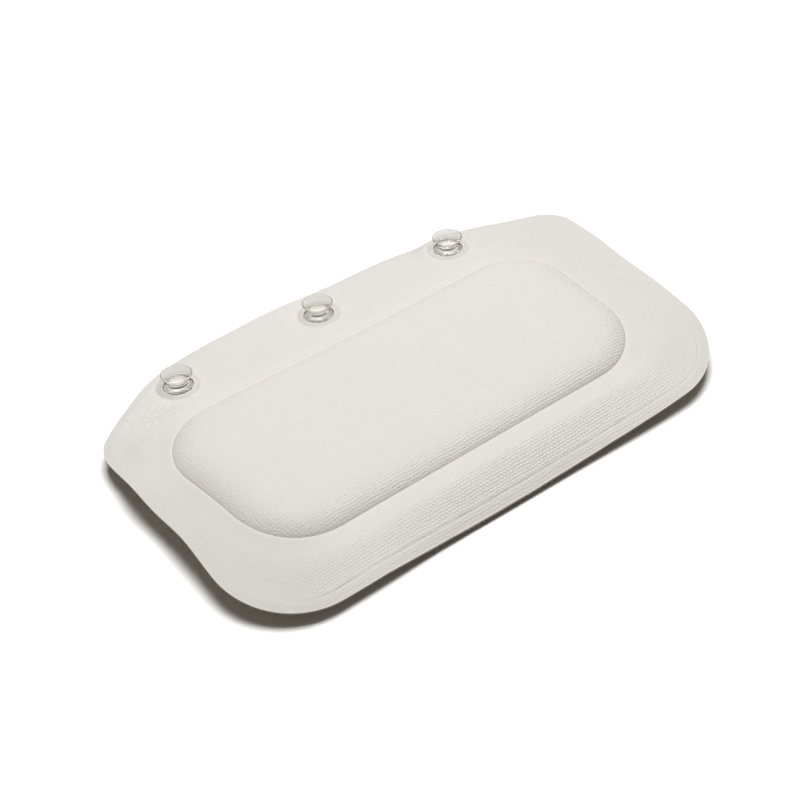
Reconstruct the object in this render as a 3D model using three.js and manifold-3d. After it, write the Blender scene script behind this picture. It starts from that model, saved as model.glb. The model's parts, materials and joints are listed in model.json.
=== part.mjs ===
// Bath pillow: two soft sheets welded round a crowned head pad and a padded border, with a thin flap behind
// the pad that folds on a weld line and carries three clear suction cups.
// Millimetres, +Z up, X along the pillow, +Y towards the flap, lying on its back on z = 0.
import * as THREE from "three";
import { mergeVertices } from "three/addons/utils/BufferGeometryUtils.js";
import Module from "manifold-3d";

// Plan of the pillow, seen from above
const PAD_LENGTH = 286;
const PAD_DEPTH = 122;
const PAD_FRONT_CORNER = 47;
const PAD_BACK_CORNER = 38;
const SIDE_MARGIN = 35; // pad to the outer edge, at the two ends
const FRONT_MARGIN = 41; // pad to the front edge
const FOLD_MARGIN = 14; // pad to the fold line
const FRONT_CORNER = 51;
const SHOULDER_SETBACK = 4; // how far in front of the fold the ends begin to slant in
const SHOULDER_RADIUS = 25;
const FLAP_DEPTH = 38;
const FLAP_BACK_LENGTH = 212; // straight back edge, before its corners are rounded
const FLAP_CORNER = 70;

// Sheets, welds and padding, in section
const SHEET = 1.2;
const CLEARANCE = 0.3; // between two pieces that touch
const CHANNEL = 9; // flat weld round the pad
const CHANNEL_BACK = 5.5; // the same weld, between the pad and the ridge in front of the fold
const HEM = 7.5; // flat weld round the outer edge
const HEM_BACK = 0.8; // flat strip between the ridge and the fold's groove
const CROWN = 8; // head pad above the weld, at the top of its rounded edge
const DOME = 1.5; // middle of the head pad above that
const FRONT_FULLNESS = 7; // more makes the pad's edge fall more suddenly, here along its front and back
const END_FULLNESS = 4; // the same at its two ends
const BULGE = 12.15; // back of the head pad below the weld
const BULGE_FULLNESS = 2.2; // 2 is an ellipse, more is squarer
const FLAT_CUT = 0.5; // how much of the bulge is flattened where the pillow lies
const PUFF_SHARE = 0.13; // padded border above the weld, as a share of its width
const BORDER_BELLY = 4; // padded border below the weld
const RIDGE_PUFF = 2.2; // narrow ridge between the pad and the fold
const PUFF_LEAN = 0.7; // below 1 moves the border's crest towards the pad
const END_LIFT = 4.5; // how far the two ends curl up
const FRONT_DROOP = 4.5; // how far the front edge hangs, in its middle
const CORNER_DROOP = 1.5; // the same towards the front corners

// Fold line
const FLAP_DROOP = 7; // degrees that the free flap hangs down
const FOLD_MITRE = 45; // degrees that each side of the fold's groove leans back

// Suction cups, along their own axis
const CUP_SPACING = 104;
const CUP_SETBACK = 15.7; // fold line to the cups' axis
const FLANGE_RADIUS = 12.5;
const FLANGE = 0.8;
const HOLE_RADIUS = 9.6; // punched through the front sheet
const EMBOSS_SKIN = 0.9; // front sheet where it is pressed over the flange
const EMBOSS_SLOPE = 0.8; // outward lean of the pressed ring's edge
const NECK_FOOT_RADIUS = 7.8;
const NECK_RADIUS = 6.6;
const NECK_HEIGHT = 3.2;
const BELL_FLOOR_RADIUS = 4.5;
const BELL_FLOOR = 1.5;
const BELL_DEPTH = 4.9;
const BELL_FLARE = 0.7; // how far the bell's waist stands out from the neck
const RIM_RADIUS = 9.6;
const LIP = 1; // width of the flat sealing lip

// How finely curves are divided
const CORNER_STEPS = 8;
const LONG_STEPS = 5;
const SHORT_STEPS = 3;
const ARC_STEPS = 14;
const CUP_SIDES = 32;
const PAD_RINGS = [0.93, 0.53, 0.27, 0.13, 0.055]; // share of the pad's rise, from the middle outwards
const BORDER_RINGS = [0.15, 0.37, 0.62, 0.85]; // share of the border's width, from the pad outwards

const radians = THREE.MathUtils.degToRad;
const lerp = THREE.MathUtils.lerp;
const halfPad = { x: PAD_LENGTH / 2, y: PAD_DEPTH / 2 };
const frontArc = { x: halfPad.x - PAD_FRONT_CORNER, y: halfPad.y - PAD_FRONT_CORNER, radius: PAD_FRONT_CORNER };
const backArc = { x: halfPad.x - PAD_BACK_CORNER, y: halfPad.y - PAD_BACK_CORNER, radius: PAD_BACK_CORNER };
const padRise = Math.min(PAD_FRONT_CORNER, PAD_BACK_CORNER); // width of the pad's rounded edge
const foldY = halfPad.y + FOLD_MARGIN;
const weldZ = BULGE - FLAT_CUT + SHEET + CLEARANCE / 2;
const weldTop = weldZ + CLEARANCE / 2 + SHEET;
const weldBottom = weldZ - CLEARANCE / 2 - SHEET;
const mitreSlope = Math.tan(radians(FOLD_MITRE));

// Polygon whose corners are rounded by arcs, from vertices [x, y, radius] in order.
function roundedPolygon(vertices) {
  const points = [];
  vertices.forEach(([x, y, radius], i) => {
    const here = new THREE.Vector2(x, y);
    const before = new THREE.Vector2(...vertices.at(i - 1)).sub(here).normalize();
    const after = new THREE.Vector2(...vertices[(i + 1) % vertices.length]).sub(here).normalize();
    const half = Math.acos(before.dot(after)) / 2;
    const middle = before.clone().add(after).normalize();
    const centre = here.clone().addScaledVector(middle, radius / Math.sin(half));
    const start = here.clone().addScaledVector(before, radius / Math.tan(half)).sub(centre);
    for (let k = 0; k <= ARC_STEPS; k += 1) {
      const turn = (k / ARC_STEPS) * (Math.PI - 2 * half);
      points.push(start.clone().rotateAround(new THREE.Vector2(), turn).add(centre));
    }
  });
  return points;
}

// The part of a polygon on one side of the line y = level: side 1 keeps what lies above it, -1 below.
function clipAt(points, level, side) {
  const kept = [];
  points.forEach((point, i) => {
    const next = points[(i + 1) % points.length];
    const inside = (point.y - level) * side >= 0;
    const nextInside = (next.y - level) * side >= 0;
    if (inside) kept.push(point);
    if (inside !== nextInside) kept.push(point.clone().lerp(next, (level - point.y) / (next.y - point.y)));
  });
  return kept;
}

const endX = halfPad.x + SIDE_MARGIN;
const frontY = -halfPad.y - FRONT_MARGIN;
const outline = roundedPolygon([
  [-endX, frontY, FRONT_CORNER],
  [endX, frontY, FRONT_CORNER],
  [endX, foldY - SHOULDER_SETBACK, SHOULDER_RADIUS],
  [FLAP_BACK_LENGTH / 2, foldY + FLAP_DEPTH, FLAP_CORNER],
  [-FLAP_BACK_LENGTH / 2, foldY + FLAP_DEPTH, FLAP_CORNER],
  [-endX, foldY - SHOULDER_SETBACK, SHOULDER_RADIUS],
]);
const bodyOutline = clipAt(outline, foldY, -1);
const foldEndX = Math.max(...bodyOutline.filter((p) => Math.abs(p.y - foldY) < 1e-6).map((p) => p.x));

// Distance from a point to the body's outline, along a direction.
function reach(x, y, nx, ny) {
  let nearest = Infinity;
  bodyOutline.forEach((a, i) => {
    const b = bodyOutline[(i + 1) % bodyOutline.length];
    const ex = b.x - a.x;
    const ey = b.y - a.y;
    const cross = nx * ey - ny * ex;
    const along = ((a.x - x) * ey - (a.y - y) * ex) / cross;
    const share = ((a.x - x) * ny - (a.y - y) * nx) / cross;
    if (along > 0 && share > -1e-6 && share < 1 + 1e-6) nearest = Math.min(nearest, along);
  });
  return nearest;
}

// Rays that leave the pad's edge square to it, counter-clockwise from the front left. Each carries the sizes
// of the section along it: the flat weld, the padding and the hem change from the border to the ridge.
const foldCorner = Math.atan2(foldY - backArc.y, foldEndX - backArc.x);

function ray(x, y, angle) {
  const nx = Math.cos(angle);
  const ny = Math.sin(angle);
  const length = reach(x, y, nx, ny);
  const rise = Math.asin(THREE.MathUtils.clamp(ny, -1, 1));
  const ridge = THREE.MathUtils.smoothstep(rise, foldCorner, Math.PI / 2);
  const middle = Math.max(0, 1 - (x / frontArc.x) ** 2);
  const droop = Math.min(ny, 0) ** 2 * lerp(CORNER_DROOP, FRONT_DROOP, middle);
  const curl = END_LIFT * nx * nx * (1 - THREE.MathUtils.smoothstep(rise, 0, foldCorner));
  return {
    x,
    y,
    nx,
    ny,
    length,
    onFold: rise > foldCorner - 1e-6,
    channel: lerp(CHANNEL, CHANNEL_BACK, ridge),
    hem: lerp(HEM, HEM_BACK, ridge),
    ridge,
    fullness: lerp(FRONT_FULLNESS, END_FULLNESS, nx * nx),
    belly: BORDER_BELLY * (1 - THREE.MathUtils.smoothstep(rise, 0, foldCorner)),
    lift: curl - droop,
  };
}

function arcRays(arc, sideX, sideY, turns) {
  return turns.map((turn) => {
    const angle = Math.atan2(Math.sin(turn) * sideY, Math.cos(turn) * sideX);
    const x = sideX * arc.x + arc.radius * Math.cos(angle);
    const y = sideY * arc.y + arc.radius * Math.sin(angle);
    return ray(x, y, angle);
  });
}

function sideRays(from, to, angle, steps) {
  return Array.from({ length: steps - 1 }, (_, i) => {
    const share = (i + 1) / steps;
    return ray(lerp(from[0], to[0], share), lerp(from[1], to[1], share), angle);
  });
}

// Turns from an end (0) to the front or back (a quarter turn). At the back one ray meets the fold's end.
const frontTurns = Array.from({ length: CORNER_STEPS + 1 }, (_, i) => ((i / CORNER_STEPS) * Math.PI) / 2);
const stepsToFold = Math.max(1, Math.round((foldCorner / (Math.PI / 2)) * CORNER_STEPS));
const backTurns = frontTurns.map((_, i) =>
  i <= stepsToFold
    ? (i / stepsToFold) * foldCorner
    : lerp(foldCorner, Math.PI / 2, (i - stepsToFold) / (CORNER_STEPS - stepsToFold)),
);
const rays = [
  ...sideRays([-frontArc.x, -halfPad.y], [frontArc.x, -halfPad.y], -Math.PI / 2, LONG_STEPS),
  ...arcRays(frontArc, 1, -1, frontTurns.toReversed()),
  ...sideRays([halfPad.x, -frontArc.y], [halfPad.x, backArc.y], 0, SHORT_STEPS),
  ...arcRays(backArc, 1, 1, backTurns),
  ...sideRays([backArc.x, halfPad.y], [-backArc.x, halfPad.y], Math.PI / 2, LONG_STEPS),
  ...arcRays(backArc, -1, 1, backTurns.toReversed()),
  ...sideRays([-halfPad.x, backArc.y], [-halfPad.x, -frontArc.y], Math.PI, SHORT_STEPS),
  ...arcRays(frontArc, -1, -1, frontTurns),
];

// Depth of the pad's back at a share of its rise in from its edge.
function bulgeDepth(share) {
  return BULGE * (1 - (1 - share) ** BULGE_FULLNESS) ** (1 / BULGE_FULLNESS);
}

// Where a ray ends at height z: the outer edge, or the slanting side of the fold's groove.
function rayEnd(r, z) {
  if (!r.onFold) return r.length;
  return (foldY - CLEARANCE / 2 - (z - weldBottom) * mitreSlope - r.y) / r.ny;
}

const liftAt = (r, d) => r.lift * (Math.max(d - r.channel, 0) / (r.length - r.channel)) ** 2;

// Rings across the border, from the flat weld round the pad to the seam of the hem: [distance, share of width].
const seamAt = (r) => rayEnd(r, weldTop) - r.hem;
const borderRings = (r) => [0, ...BORDER_RINGS, 1].map((share) => [lerp(r.channel, seamAt(r), share), share]);

// Outer face of the front sheet along a ray: [distance from the pad's edge, height], from the middle outwards.
function frontProfile(r) {
  const pad = [...PAD_RINGS, 0].map((share) => [
    -share * padRise,
    weldTop + CROWN * (1 - (1 - share) ** r.fullness),
  ]);
  const puff = lerp(PUFF_SHARE * (seamAt(r) - r.channel), RIDGE_PUFF, r.ridge);
  const border = borderRings(r).map(([d, share]) => [d, weldTop + puff * Math.sin(Math.PI * share ** PUFF_LEAN)]);
  const edge = [rayEnd(r, weldTop), weldTop];
  return [...pad, ...border, edge].map(([d, z]) => [d, z + liftAt(r, d)]);
}

// Outer face of the back sheet along a ray, flattened where the pillow lies.
function backProfile(r) {
  const pad = [...PAD_RINGS, 0].map((share) => [
    -share * padRise,
    Math.max(0, weldBottom - bulgeDepth(share)),
  ]);
  const border = borderRings(r).map(([d, share]) => [d, weldBottom - r.belly * Math.sin(Math.PI * share)]);
  const edge = [rayEnd(r, weldBottom), weldBottom];
  return [...pad, ...border, edge].map(([d, z]) => [d, z + liftAt(r, d)]);
}

// A profile moved square to itself: side -1 moves it down and in, 1 moves it up and in.
function offsetProfile(r, profile, distance, side) {
  const last = profile.length - 1;
  return profile.map(([d, z], i) => {
    const [beforeD, beforeZ] = profile[Math.max(0, i - 1)];
    const [afterD, afterZ] = profile[Math.min(last, i + 1)];
    const run = Math.hypot(afterD - beforeD, afterZ - beforeZ);
    const movedZ = z + (side * distance * (afterD - beforeD)) / run;
    if (i === last) return [rayEnd(r, movedZ - liftAt(r, d)), movedZ];
    return [d - (side * distance * (afterZ - beforeZ)) / run, movedZ];
  });
}

// Solid carried round the pad through one section a ray: half of its points run out over the top, half run
// back in underneath, and both halves split their facets along the same diagonal, so that nested pieces stay
// parallel. An open section starts and ends on a pole in the middle of the pad, and a closed one makes a ring.
function sweepRound(sections, poles) {
  const count = sections[0].length;
  const positions = [];
  rays.forEach((r, i) => sections[i].forEach(([d, z]) => positions.push(r.x + r.nx * d, r.y + r.ny * d, z)));
  const index = [];
  const bands = poles ? count - 1 : count;
  rays.forEach((_, i) => {
    const here = i * count;
    const next = ((i + 1) % rays.length) * count;
    for (let k = 0; k < bands; k += 1) {
      const after = (k + 1) % count;
      const [a, b, c, d] = [here + k, here + after, next + k, next + after];
      index.push(...(k < count / 2 ? [a, b, c, c, b, d] : [a, b, d, a, d, c]));
    }
    if (poles) {
      const top = rays.length * count;
      index.push(top, here, next, top + 1, next + count - 1, here + count - 1);
    }
  });
  if (poles) poles.forEach((z) => positions.push(0, 0, z));
  const geometry = new THREE.BufferGeometry();
  geometry.setAttribute("position", new THREE.Float32BufferAttribute(positions, 3));
  geometry.setIndex(index);
  return geometry;
}

const fronts = rays.map(frontProfile);
const backs = rays.map(backProfile);
const frontOffset = (distance) => rays.map((r, i) => offsetProfile(r, fronts[i], distance, -1));
const backOffset = (distance) => rays.map((r, i) => offsetProfile(r, backs[i], distance, 1));
const crownTop = weldTop + CROWN + DOME;

// The two sheets of the pillow: each outer face, its edge and its inner face.
function frontCover() {
  const inner = frontOffset(SHEET);
  const sections = fronts.map((profile, i) => [...profile, ...inner[i].toReversed()]);
  return sweepRound(sections, [crownTop, crownTop - SHEET]);
}

function backCover() {
  const inner = backOffset(SHEET);
  const sections = backs.map((profile, i) => [...inner[i], ...profile.toReversed()]);
  return sweepRound(sections, [SHEET, 0]);
}

// The foam block in the head pad, cut square at its edge, and the foam ring in the border.
const foamGap = SHEET + CLEARANCE;

function coreFoam() {
  const above = frontOffset(foamGap).map((profile) => profile.slice(0, PAD_RINGS.length));
  const below = backOffset(foamGap).map((profile) => profile.slice(0, PAD_RINGS.length));
  const sections = above.map((profile, i) => [...profile, ...below[i].toReversed()]);
  return sweepRound(sections, [crownTop - foamGap, foamGap]);
}

function borderFoam() {
  const first = PAD_RINGS.length + 2;
  const ringOf = (profile) => profile.slice(first, first + BORDER_RINGS.length);
  const above = frontOffset(foamGap).map(ringOf);
  const below = backOffset(foamGap).map(ringOf);
  return sweepRound(above.map((profile, i) => [...profile, ...below[i].toReversed()]));
}

// Booleans for the flap's front sheet
const wasm = await Module();
wasm.setup();

function solid(geometry) {
  const bare = geometry.clone();
  bare.deleteAttribute("normal");
  bare.deleteAttribute("uv");
  const merged = mergeVertices(bare, 1e-4);
  const vertProperties = new Float32Array(merged.attributes.position.array);
  return new wasm.Manifold(new wasm.Mesh({ numProp: 3, vertProperties, triVerts: new Uint32Array(merged.index.array) }));
}

function fromSolid(body) {
  const { vertProperties, triVerts } = body.getMesh();
  const geometry = new THREE.BufferGeometry();
  geometry.setAttribute("position", new THREE.BufferAttribute(vertProperties, 3));
  geometry.setIndex(new THREE.BufferAttribute(triVerts, 1));
  return geometry;
}

// Turned piece from [radius, height] pairs, standing up along Z.
function turned(pairs) {
  const profile = pairs.map(([radius, height]) => new THREE.Vector2(radius, height));
  return new THREE.LatheGeometry(profile, CUP_SIDES).rotateX(Math.PI / 2);
}

// The flap lies in its own frame: X along the fold, Y away from it, Z up from the back sheet's underside.
const sheetGapTop = SHEET + CLEARANCE;
const flapTop = sheetGapTop + SHEET;
const cupPlaces = { left: -CUP_SPACING, middle: 0, right: CUP_SPACING };

function flapPlate(bottom, top) {
  const points = clipAt(outline, foldY + CLEARANCE / 2, 1).map((p) => new THREE.Vector2(p.x, p.y - foldY));
  const plate = new THREE.ExtrudeGeometry(new THREE.Shape(points), { depth: top - bottom, bevelEnabled: false });
  return solid(plate.translate(0, 0, bottom)).subtract(foldGroove());
}

// Wedge that slants the flap's edge along the fold, so that the flap can turn up.
function foldGroove() {
  const tall = 2 * flapTop;
  const wedge = new THREE.Shape([
    new THREE.Vector2(CLEARANCE / 2, 0),
    new THREE.Vector2(CLEARANCE / 2 + tall * mitreSlope, tall),
    new THREE.Vector2(-tall, tall),
    new THREE.Vector2(-tall, 0),
  ]);
  const length = 3 * endX;
  const bar = new THREE.ExtrudeGeometry(wedge, { depth: length, bevelEnabled: false });
  return solid(bar.translate(0, 0, -length / 2).rotateX(Math.PI / 2).rotateZ(Math.PI / 2));
}

// Front sheet of the flap: pressed up into a ring over each cup's flange, and punched for its neck.
function flapFrontSheet() {
  const pocketRadius = FLANGE_RADIUS + CLEARANCE;
  const pocketTop = sheetGapTop + FLANGE + CLEARANCE;
  const embossTop = pocketTop + EMBOSS_SKIN;
  const embossRadius = pocketRadius + EMBOSS_SKIN;
  const middle = (sheetGapTop + flapTop) / 2;
  let sheet = flapPlate(sheetGapTop, flapTop);
  for (const x of Object.values(cupPlaces)) {
    const at = (geometry) => solid(geometry.translate(x, CUP_SETBACK, 0));
    const ring = [[0, middle], [embossRadius + EMBOSS_SLOPE, middle], [embossRadius - EMBOSS_SLOPE / 2, embossTop]];
    const pocket = [[0, 0], [pocketRadius, 0], [pocketRadius, pocketTop], [0, pocketTop]];
    const hole = [[0, 0], [HOLE_RADIUS, 0], [HOLE_RADIUS, 2 * embossTop], [0, 2 * embossTop]];
    sheet = sheet.add(at(turned([...ring, [0, embossTop]])));
    sheet = sheet.subtract(at(turned(pocket))).subtract(at(turned(hole)));
  }
  return fromSolid(sheet.subtract(foldGroove()));
}

const flapBackSheet = () => fromSolid(flapPlate(0, SHEET));

// Suction cup: flange and neck, then the bell that flexes on it. Heights are in the flap's frame.
const flangeBottom = sheetGapTop;
const neckBottom = flangeBottom + FLANGE;
const neckTop = neckBottom + NECK_HEIGHT;
const bellBottom = neckTop + CLEARANCE;
const bellFloor = bellBottom + BELL_FLOOR;
const rimTop = bellFloor + BELL_DEPTH;

function suctionStem() {
  const neck = new THREE.QuadraticBezierCurve(
    new THREE.Vector2(NECK_FOOT_RADIUS, neckBottom),
    new THREE.Vector2(NECK_RADIUS, neckBottom),
    new THREE.Vector2(NECK_RADIUS, neckTop),
  );
  const curve = neck.getPoints(6).map((p) => [p.x, p.y]);
  return turned([[0, flangeBottom], [FLANGE_RADIUS, flangeBottom], [FLANGE_RADIUS, neckBottom], ...curve, [0, neckTop]]);
}

function suctionBell() {
  const outer = new THREE.QuadraticBezierCurve(
    new THREE.Vector2(NECK_RADIUS, bellBottom),
    new THREE.Vector2(NECK_RADIUS + BELL_FLARE, (bellBottom + rimTop) / 2),
    new THREE.Vector2(RIM_RADIUS, rimTop - LIP / 2),
  );
  const inner = new THREE.QuadraticBezierCurve(
    new THREE.Vector2(RIM_RADIUS - LIP, rimTop),
    new THREE.Vector2(NECK_RADIUS, bellFloor + BELL_FLARE),
    new THREE.Vector2(BELL_FLOOR_RADIUS, bellFloor),
  );
  const pairs = (curve, steps) => curve.getPoints(steps).map((p) => [p.x, p.y]);
  return turned([[0, bellBottom], ...pairs(outer, 5), [RIM_RADIUS, rimTop], ...pairs(inner, 5), [0, bellFloor]]);
}

// Finishes
const sheetFinish = { color: 0xe1dfd9, roughness: 0.75, metalness: 0 };
const backFinish = { color: 0xdddbd5, roughness: 0.7, metalness: 0 };
const foamFinish = { color: 0xf1eee2, roughness: 0.95, metalness: 0 };
const cupFinish = { color: 0xe8ebe6, roughness: 0.12, metalness: 0, transparent: true, opacity: 0.4 };

function piece(name, geometry, finish) {
  const mesh = new THREE.Mesh(geometry, new THREE.MeshStandardMaterial(finish));
  mesh.name = name;
  return mesh;
}

const flap = new THREE.Group();
flap.position.set(0, foldY, weldBottom);
flap.rotation.x = -radians(FLAP_DROOP);
flap.add(piece("flap_front_sheet", flapFrontSheet(), sheetFinish));
flap.add(piece("flap_back_sheet", flapBackSheet(), backFinish));
for (const [side, x] of Object.entries(cupPlaces)) {
  const cup = new THREE.Group();
  cup.position.set(x, CUP_SETBACK, 0);
  cup.add(piece(`suction_stem_${side}`, suctionStem(), cupFinish));
  cup.add(piece(`suction_bell_${side}`, suctionBell(), cupFinish));
  flap.add(cup);
}

const pillow = new THREE.Group();
pillow.add(piece("front_cover", frontCover(), sheetFinish));
pillow.add(piece("back_cover", backCover(), backFinish));
pillow.add(piece("core_foam", coreFoam(), foamFinish));
pillow.add(piece("border_foam", borderFoam(), foamFinish));
pillow.add(flap);

// The origin is under the middle of the whole pillow, flap included.
pillow.updateMatrixWorld(true);
const middleOfAll = new THREE.Box3().setFromObject(pillow, true).getCenter(new THREE.Vector3());
pillow.position.set(-middleOfAll.x, -middleOfAll.y, 0);

export default pillow;
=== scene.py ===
"""Dressed look of a bath pillow: soft welded sheets over foam, and three clear suction cups on a folding flap.

Sizes in the classes are millimetres in the maker's frame: the middle of the head pad is at x = 0, y = 0, the flap
lies towards +Y, and z = 0 is the surface that the pillow rests on. Meshes are written in metres, in the frame of
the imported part, which is the same frame moved along Y.
"""

import json
import logging
import math
from dataclasses import dataclass, field
from enum import Enum

import bpy
import numpy as np
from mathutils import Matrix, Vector

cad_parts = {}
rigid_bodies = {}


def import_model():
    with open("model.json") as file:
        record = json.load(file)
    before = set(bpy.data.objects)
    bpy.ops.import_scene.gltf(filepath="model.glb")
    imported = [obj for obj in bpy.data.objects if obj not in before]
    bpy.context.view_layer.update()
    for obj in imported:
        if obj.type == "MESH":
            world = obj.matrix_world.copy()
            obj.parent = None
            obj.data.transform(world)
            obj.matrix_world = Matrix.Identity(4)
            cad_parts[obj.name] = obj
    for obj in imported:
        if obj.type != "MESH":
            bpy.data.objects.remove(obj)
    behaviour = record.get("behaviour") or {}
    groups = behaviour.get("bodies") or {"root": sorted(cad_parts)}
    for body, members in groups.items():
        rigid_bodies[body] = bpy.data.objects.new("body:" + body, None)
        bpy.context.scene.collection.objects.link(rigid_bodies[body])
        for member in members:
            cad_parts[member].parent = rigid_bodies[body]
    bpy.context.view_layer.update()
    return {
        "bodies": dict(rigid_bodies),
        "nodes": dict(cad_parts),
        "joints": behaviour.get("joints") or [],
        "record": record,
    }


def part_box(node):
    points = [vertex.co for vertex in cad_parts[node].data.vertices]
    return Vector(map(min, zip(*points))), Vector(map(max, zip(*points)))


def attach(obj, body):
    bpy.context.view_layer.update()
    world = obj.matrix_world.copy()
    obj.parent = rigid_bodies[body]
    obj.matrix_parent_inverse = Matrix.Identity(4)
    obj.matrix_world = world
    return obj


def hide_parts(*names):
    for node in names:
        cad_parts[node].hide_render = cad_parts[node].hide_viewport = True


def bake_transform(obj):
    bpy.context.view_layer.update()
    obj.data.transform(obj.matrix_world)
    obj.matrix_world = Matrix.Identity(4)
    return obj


LOG = logging.getLogger("bath_pillow")
MM = 0.001
TINY = 1e-9
X_AXIS = np.array([1.0, 0.0, 0.0])
Colour = tuple[float, float, float]
Point = tuple[float, float, float]
Counts = tuple[int, int, int, int, int]
Knots = tuple[tuple[float, float], ...]


class Side(Enum):
    """The three suction cups, each with its place along the fold in cup spacings."""

    LEFT = -1
    MIDDLE = 0
    RIGHT = 1

    @property
    def word(self) -> str:
        """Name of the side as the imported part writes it."""
        return self.name.lower()


class Face(Enum):
    """The two sheets of the pillow."""

    FRONT = "front"
    BACK = "back"


def smoothstep(value: np.ndarray, low: float, high: float) -> np.ndarray:
    """Ease from 0 at low to 1 at high, flat at both ends: 3t^2 - 2t^3 of the clipped share t."""
    share = np.clip((value - low) / (high - low), 0.0, 1.0)
    return share * share * (3.0 - 2.0 * share)


def mix(low: np.ndarray | float, high: np.ndarray | float, share: np.ndarray | float) -> np.ndarray:
    """Straight mix of two values."""
    return low + (high - low) * share


def bell(value: np.ndarray, width: float) -> np.ndarray:
    """Bell curve: exp of minus the square of value over width."""
    return np.exp(-((value / width) ** 2))


def bezier(points: list[tuple[float, float]], steps: int) -> np.ndarray:
    """Quadratic Bezier curve: (1-t)^2 A + 2t(1-t) B + t^2 C at evenly spaced t.

    Args:
        points: The two ends and the control point between them.
        steps: How many points the curve gets.

    Returns:
        Array of steps by 2.
    """
    start, control, end = (np.array(p) for p in points)
    t = np.linspace(0.0, 1.0, steps)[:, None]
    return (1 - t) ** 2 * start + 2 * t * (1 - t) * control + t**2 * end


@dataclass(frozen=True)
class Ramp:
    """A value that eases from start to end while something else goes from low to high."""

    low: float
    high: float
    start: float = 0.0
    end: float = 1.0

    def at(self, value: np.ndarray) -> np.ndarray:
        """The value there, by the smooth step."""
        return mix(self.start, self.end, smoothstep(value, self.low, self.high))


def write_mesh(
    name: str,
    points: np.ndarray,
    faces: list[np.ndarray],
    cloth: np.ndarray | None = None,
    masks: dict[str, np.ndarray] | None = None,
    crease: float = 40.0,
) -> bpy.types.Object:
    """Make an object from whole arrays.

    Args:
        name: Name of the piece.
        points: Vertices in metres, n by 3.
        faces: Arrays of vertex numbers, each m by 3 or more, counter-clockwise seen from outside.
        cloth: Flat cloth coordinates of each vertex, n by 2, written to the UV map "weave".
        masks: Values per vertex, written as point attributes.
        crease: Edges that turn by more than this many degrees stay sharp.

    Returns:
        The new object, linked to the scene, at the origin.
    """
    loops = np.concatenate([f.ravel() for f in faces]).astype(np.int32)
    sizes = np.concatenate([np.full(len(f), f.shape[1]) for f in faces])
    starts = np.concatenate([[0], np.cumsum(sizes)[:-1]]).astype(np.int32)
    mesh = bpy.data.meshes.new(name)
    mesh.vertices.add(len(points))
    mesh.vertices.foreach_set("co", points.astype(np.float32).ravel())
    mesh.loops.add(len(loops))
    mesh.loops.foreach_set("vertex_index", loops)
    mesh.polygons.add(len(starts))
    mesh.polygons.foreach_set("loop_start", starts)
    mesh.update(calc_edges=True)
    if cloth is not None:
        layer = mesh.uv_layers.new(name="weave")
        layer.data.foreach_set("uv", cloth[loops].astype(np.float32).ravel())
    for mask, values in (masks or {}).items():
        attribute = mesh.attributes.new(mask, "FLOAT", "POINT")
        attribute.data.foreach_set("value", values.astype(np.float32).ravel())
    mesh.validate()
    mesh.shade_smooth()
    mesh.set_sharp_from_angle(angle=math.radians(crease))
    piece = bpy.data.objects.new(name, mesh)
    bpy.context.scene.collection.objects.link(piece)
    return piece


def grid_quads(rays: int, stations: int) -> np.ndarray:
    """Quads of a grid whose last ray joins its first.

    Args:
        rays: Number of rays.
        stations: Number of stations along each.

    Returns:
        Vertex numbers, m by 4.
    """
    along = np.arange(stations - 1)[None, :]
    here = np.arange(rays)[:, None] * stations + along
    after = np.roll(np.arange(rays), -1)[:, None] * stations + along
    return np.stack([here, here + 1, after + 1, after], axis=-1).reshape(-1, 4)


def wall_quads(upper: np.ndarray, lower: np.ndarray) -> np.ndarray:
    """Quads between two closed edges of equal count, facing out if the edges turn counter-clockwise."""
    return np.stack([upper, lower, np.roll(lower, -1), np.roll(upper, -1)], axis=-1)


def fan(pole: int, edge: np.ndarray) -> np.ndarray:
    """Triangles from a pole to a closed edge, in the edge's order."""
    return np.stack([np.full(len(edge), pole), edge, np.roll(edge, -1)], axis=-1)


def shell_faces(rays: int, stations: int, poles: bool) -> list[np.ndarray]:
    """Faces of a closed body with an upper and a lower grid, both rays by stations, joined along their edges.

    The upper grid's vertices come first, then the lower grid's, then the upper and the lower pole.

    Args:
        rays: Number of rays, counter-clockwise seen from above.
        stations: Number of stations along each ray, from the middle outwards.
        poles: Whether two poles close the middle. If not, the body is a ring and its inner edges are joined.

    Returns:
        Arrays of quads, and of triangles where there are poles.
    """
    upper = grid_quads(rays, stations)
    under = rays * stations
    inner = np.arange(rays) * stations
    outer = inner + stations - 1
    faces = [upper, upper[:, ::-1] + under, wall_quads(outer, outer + under)]
    if not poles:
        return [*faces, wall_quads(inner, inner + under)[:, ::-1]]
    lower_cap = fan(2 * under + 1, inner + under)[:, [0, 2, 1]]
    return [*faces, np.concatenate([fan(2 * under, inner), lower_cap])]


@dataclass(frozen=True)
class Rays:
    """Lines that leave the pad's edge square to it, counter-clockwise from the front left, with their section."""

    foot: np.ndarray
    out: np.ndarray
    edge: np.ndarray
    fold: np.ndarray
    on_fold: np.ndarray
    seam: np.ndarray
    channel: np.ndarray
    puff: np.ndarray
    lean: np.ndarray
    belly: np.ndarray
    lift: np.ndarray
    stitched: np.ndarray
    ridge: np.ndarray


def arc_rays(centre: np.ndarray, radius: float, angle: np.ndarray) -> tuple[np.ndarray, np.ndarray]:
    """Feet on an arc, and their directions away from its centre."""
    out = np.stack([np.cos(angle), np.sin(angle)], axis=-1)
    return centre + radius * out, out


def side_rays(start: list[float], end: list[float], angle: float, at: np.ndarray) -> tuple[np.ndarray, np.ndarray]:
    """Feet at shares of a straight side, with one direction for all."""
    feet = mix(np.array(start), np.array(end), at[:, None])
    return feet, np.tile([np.cos(angle), np.sin(angle)], (len(at), 1)).round(12)


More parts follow.
